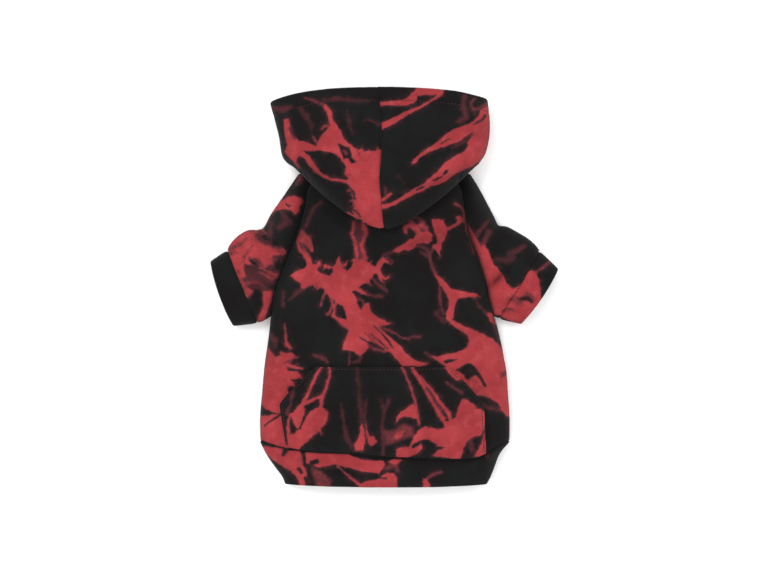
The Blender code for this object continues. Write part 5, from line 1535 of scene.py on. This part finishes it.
def build_hood():
    """The hood's halves: each a grid from the neck seam over the folded peak to the turned brim.

    Columns run from the throat seam along the underside, round the side fold, and over to the centre seam.
    That seam bends as in the photo, and its bend fades towards the side fold and the neck.
    """
    upper, lower, stations = hood_layers()
    middle, under_middle = upper.shape[1] // 2, lower.shape[1] // 2
    start = lower.shape[1] - 1 - under_middle
    way = (stations / stations[-1])[:, None]
    left = np.concatenate([lower[:, under_middle:-1], upper[:, : middle + 1]], axis=1)
    right = np.concatenate([lower[:, under_middle:0:-1], upper[:, : middle - 1 : -1]], axis=1)
    paths = {}
    for name, points, chart, seed in (
        ("hood_left", left, HOOD_LEFT_DYE, 51), ("hood_right", right, HOOD_RIGHT_DYE, 61),
    ):
        over = np.zeros(points.shape[:2])
        over[:, start:] = np.linspace(0, 1, points.shape[1] - start)
        points[..., 0] += np.interp(points[..., 1], SEAM_LINE_Y, SEAM_LINE_X) * over**2 * way**0.5
        fade = ramp(over, *HOOD_CALM_ACROSS) * ramp(way, *HOOD_CALM_ALONG)
        pressed = folds(points, HOOD_FOLDS) * fade
        lift = HOOD_SOFT * softness(points, seed) * fade + pressed
        brim = edge_distances(points, ("end",))
        lift -= seam_dip(points, ("right",), HOOD_DIP, seed + 7) * np.clip(brim / BRIM_CALM, BRIM_REST, 1)
        roll = BRIM_ROLL * np.exp(-((brim / BRIM_ROLL_WIDTH) ** 4))
        groove = BRIM_GROOVE * np.exp(-(((brim - BRIM_HEM) / BRIM_GROOVE_WIDTH) ** 2))
        points = raised(points, lift + fade * (roll - groove))
        hemmed, turned = turned_hem(points), BRIM_TURN_STEPS + BRIM_HEM_STEPS
        dye = dye_at(points, chart)
        dye = np.concatenate([dye, np.repeat(dye[-1:], turned, axis=0)])
        # painted shade over the hood, with painted shade and light from its folds
        painted_shading = HOOD_PAINTED_SHADE * painted_fold_shade(np.pad(pressed, ((0, turned), (0, 0))))
        piece = cloth(f"{name}_cloth", hemmed, CLOTH, name, "fleece", dye, ("start", "end"), painted_shading=painted_shading)
        paths[name] = (points, normals_of(points), start)
    return paths


def build_pocket():
    """The pouch pocket: it follows the back panel and stands a little off it, open at its slanting sides."""
    hand = 1 - POCKET_HAND / POCKET_HEIGHT
    up = edged(POCKET_ALONG)[:, None]
    share = 2 * edged(POCKET_ACROSS)[None, :] - 1
    slant = ramp(up, hand, 1) ** POCKET_CURVE
    half = (POCKET_BASE_WIDTH + (POCKET_TOP_WIDTH - POCKET_BASE_WIDTH) * slant) / 2
    along = (POCKET_SEAM + up * (POCKET_HEIGHT - POCKET_SEAM)) / TORSO_LENGTH
    torso = torso_at(along)
    low = 1 - ramp(up, 0, hand)
    place = share * half - POCKET_LEAN * (1 - low) + POCKET_TUCK * low * np.clip(-share, 0, 1)
    base = sagged(torso_top(place / ((torso["right"] + torso["left"]) / 2), along))
    puff = POCKET_PUFF * np.sin(np.pi * up) * (POCKET_MIDDLE + (1 - POCKET_MIDDLE) * np.abs(share))
    base += normals_of(base) * (CLOTH + LAY_GAP + puff)[..., None]
    pressed = folds(base, TORSO_FOLDS) + folds(base, POCKET_FOLDS)
    lift = softness(base, BACK_SEED) + pressed
    side_groove = POCKET_GROOVE * ramp(up, *POCKET_GROOVE_START)
    for edges, depth in ((("end",), POCKET_GROOVE), (("left", "right"), side_groove)):
        off = edge_distances(base, edges) - POCKET_STITCH
        lift -= depth * np.exp(-((off / POCKET_GROOVE_WIDTH) ** 2))
    lift -= POCKET_DIP * np.exp(-((edge_distances(base, ("start",)) / POCKET_DIP_WIDTH) ** 2))
    points = raised(base, lift)
    # painted shade and light from the pouch's folds, and painted shade on its upright edges
    piece = cloth(
        "pouch", points, CLOTH, "pocket", "fleece", dye_at(points, POCKET_DYE), ALL_EDGES,
        painted_shading=painted_fold_shade(pressed), side=POCKET_PAINTED_SIDE_SHADE,
    )
    return points, normals_of(points)


def sampled(run, values, at):
    """Rows of values at distances along a line whose own distances are given."""
    return np.stack([np.interp(at, run, part) for part in values.T], axis=-1)


def unit(vectors):
    """The same directions with a length of 1."""
    return vectors / np.linalg.norm(vectors, axis=-1, keepdims=True)


def add_stitches(lines):
    """Rows of stitches along lines of points with normals.

    Each is a short thread of six-sided rings, thin at its ends. Its middle stands off the cloth and its ends
    go down as the square of their distance from the middle.
    """
    place, size = np.array(STITCH_SHAPE).T
    centre, ahead, up = [], [], []
    for points, normals in lines:
        run = distances(points)
        at = np.arange(STITCH_PITCH / 2, run[-1] - STITCH_PITCH / 2, STITCH_PITCH)
        centre.append(sampled(run, points, at))
        ahead.append(sampled(run, points, at + STITCH_LONG / 2) - centre[-1])
        up.append(sampled(run, normals, at))
    centre, ahead, up = np.concatenate(centre), unit(np.concatenate(ahead)), np.concatenate(up)
    up = unit(up - (up * ahead).sum(-1, keepdims=True) * ahead)
    side = np.cross(up, ahead)
    turn = np.linspace(0, 2 * np.pi, STITCH_SIDES + 1)[:-1, None]
    around = np.cos(turn) * side[:, None] + np.sin(turn) * up[:, None]
    stand = STITCH_THICK * (STITCH_STAND - STITCH_SINK * place**2)
    spine = centre[:, None] + ahead[:, None] * (place * STITCH_LONG)[:, None] + up[:, None] * stand[:, None]
    rings = spine[:, :, None] + around[:, None] * (STITCH_THICK * size)[:, None, None]
    index = np.arange(rings.size // 3).reshape(rings.shape[:3])
    after = np.roll(index, -1, axis=2)
    sides = np.stack([index[:, :-1], after[:, :-1], after[:, 1:], index[:, 1:]], axis=-1).reshape(-1, 4)
    ends = np.concatenate([index[:, 0, ::-1], index[:, -1]])
    mesh = bpy.data.meshes.new("stitches")
    mesh.from_pydata(rings.reshape(-1, 3).tolist(), [], sides.tolist() + ends.tolist())
    mesh.materials.append(MATERIALS["thread"])
    mesh.shade_smooth()
    piece = linked("stitches", mesh)
    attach(piece, "root")


def line_at(points, normals, off, edge):
    """A line of points a distance in from one edge of a grid, on its outer skin, and its normals."""
    if edge in ("left", "right"):
        points, normals = points.swapaxes(0, 1), normals.swapaxes(0, 1)
    if edge in ("end", "right"):
        points, normals = points[::-1], normals[::-1]
    run = distances(points)
    low = np.clip((run < off).sum(0) - 1, 0, len(run) - 2)
    across = np.arange(run.shape[1])
    start = run[low, across]
    share = ((off - start) / (run[low + 1, across] - start))[:, None]
    way = normals[low, across] * (1 - share) + normals[low + 1, across] * share
    place = points[low, across] * (1 - share) + points[low + 1, across] * share
    return place + way * (CLOTH / 2), way


def add_all_stitches(hood, pocket):
    """The brim's hem stitch and the stitches along the pocket's edges."""
    # Each row's grid, its distance from an edge, and how many of the grid's lines it leaves out at its ends.
    rows = [(points, normals, BRIM_HEM, "end", start + 6, 2) for points, normals, start in hood.values()]
    rows += [(*pocket, POCKET_STITCH, *rest) for rest in (("end", 6, 6), ("left", 4, 4), ("right", 4, 4))]
    lines = []
    for points, normals, off, edge, first, last in rows:
        place, way = line_at(points, normals, off, edge)
        lines.append((place[first:-last], way[first:-last]))
    add_stitches(lines)


def add_stage():
    """The floor, the lights and the camera that looks straight down."""
    bpy.ops.mesh.primitive_plane_add(size=FLOOR_SIZE, location=(0, 0, -FLOOR_GAP))
    floor = bpy.context.object
    floor.name = "floor"
    floor.data.materials.append(MATERIALS["floor"])
    world = bpy.data.worlds.new("studio")
    world.use_nodes = True
    world.node_tree.nodes["Background"].inputs["Color"].default_value = (1, 1, 1, 1)
    world.node_tree.nodes["Background"].inputs["Strength"].default_value = WORLD_LIGHT
    bpy.context.scene.world = world
    for name, place, size, power in LIGHTS:
        lamp = bpy.data.lights.new(name, "AREA")
        lamp.shape = "DISK"
        lamp.size, lamp.energy = size, power
        light = linked(name, lamp)
        light.location = place
        light.rotation_euler = (-Vector(place)).to_track_quat("-Z", "Y").to_euler()
    camera = linked("camera", bpy.data.cameras.new("camera"))
    camera.location = (0, 0, VIEW_HEIGHT)
    camera.data.sensor_width = SENSOR_WIDTH
    camera.data.lens = SENSOR_WIDTH * (VIEW_HEIGHT - CHART_HEIGHT) / (PICTURE_WIDTH * CHART_STEP)
    bpy.context.scene.camera = camera


MATERIALS = {
    "fleece": dyed_cloth("fleece", wale=0.0017, course=0.0012, height=0.00022, wale_relief=0.45),
    "rib": dyed_cloth("rib", wale=0.0024, course=0.0013, height=0.00026, wale_relief=0.55),
    "inside": inside_cloth(),
    "thread": thread_material(),
    "floor": floor_material(),
}
add_stage()
build_torso()
build_hem_band()
build_sleeve("left", -1, LEFT_SLEEVE_ROWS, LEFT_UNDERARM_RUN, LEFT_CUFF, LEFT_SLEEVE_DYE, LEFT_FOLDS, 71)
build_sleeve("right", 1, RIGHT_SLEEVE_ROWS, RIGHT_UNDERARM_RUN, RIGHT_CUFF, RIGHT_SLEEVE_DYE, RIGHT_FOLDS, 81)
hood = build_hood()
pocket = build_pocket()
add_all_stitches(hood, pocket)

bpy.context.scene.view_settings.view_transform = "Standard"
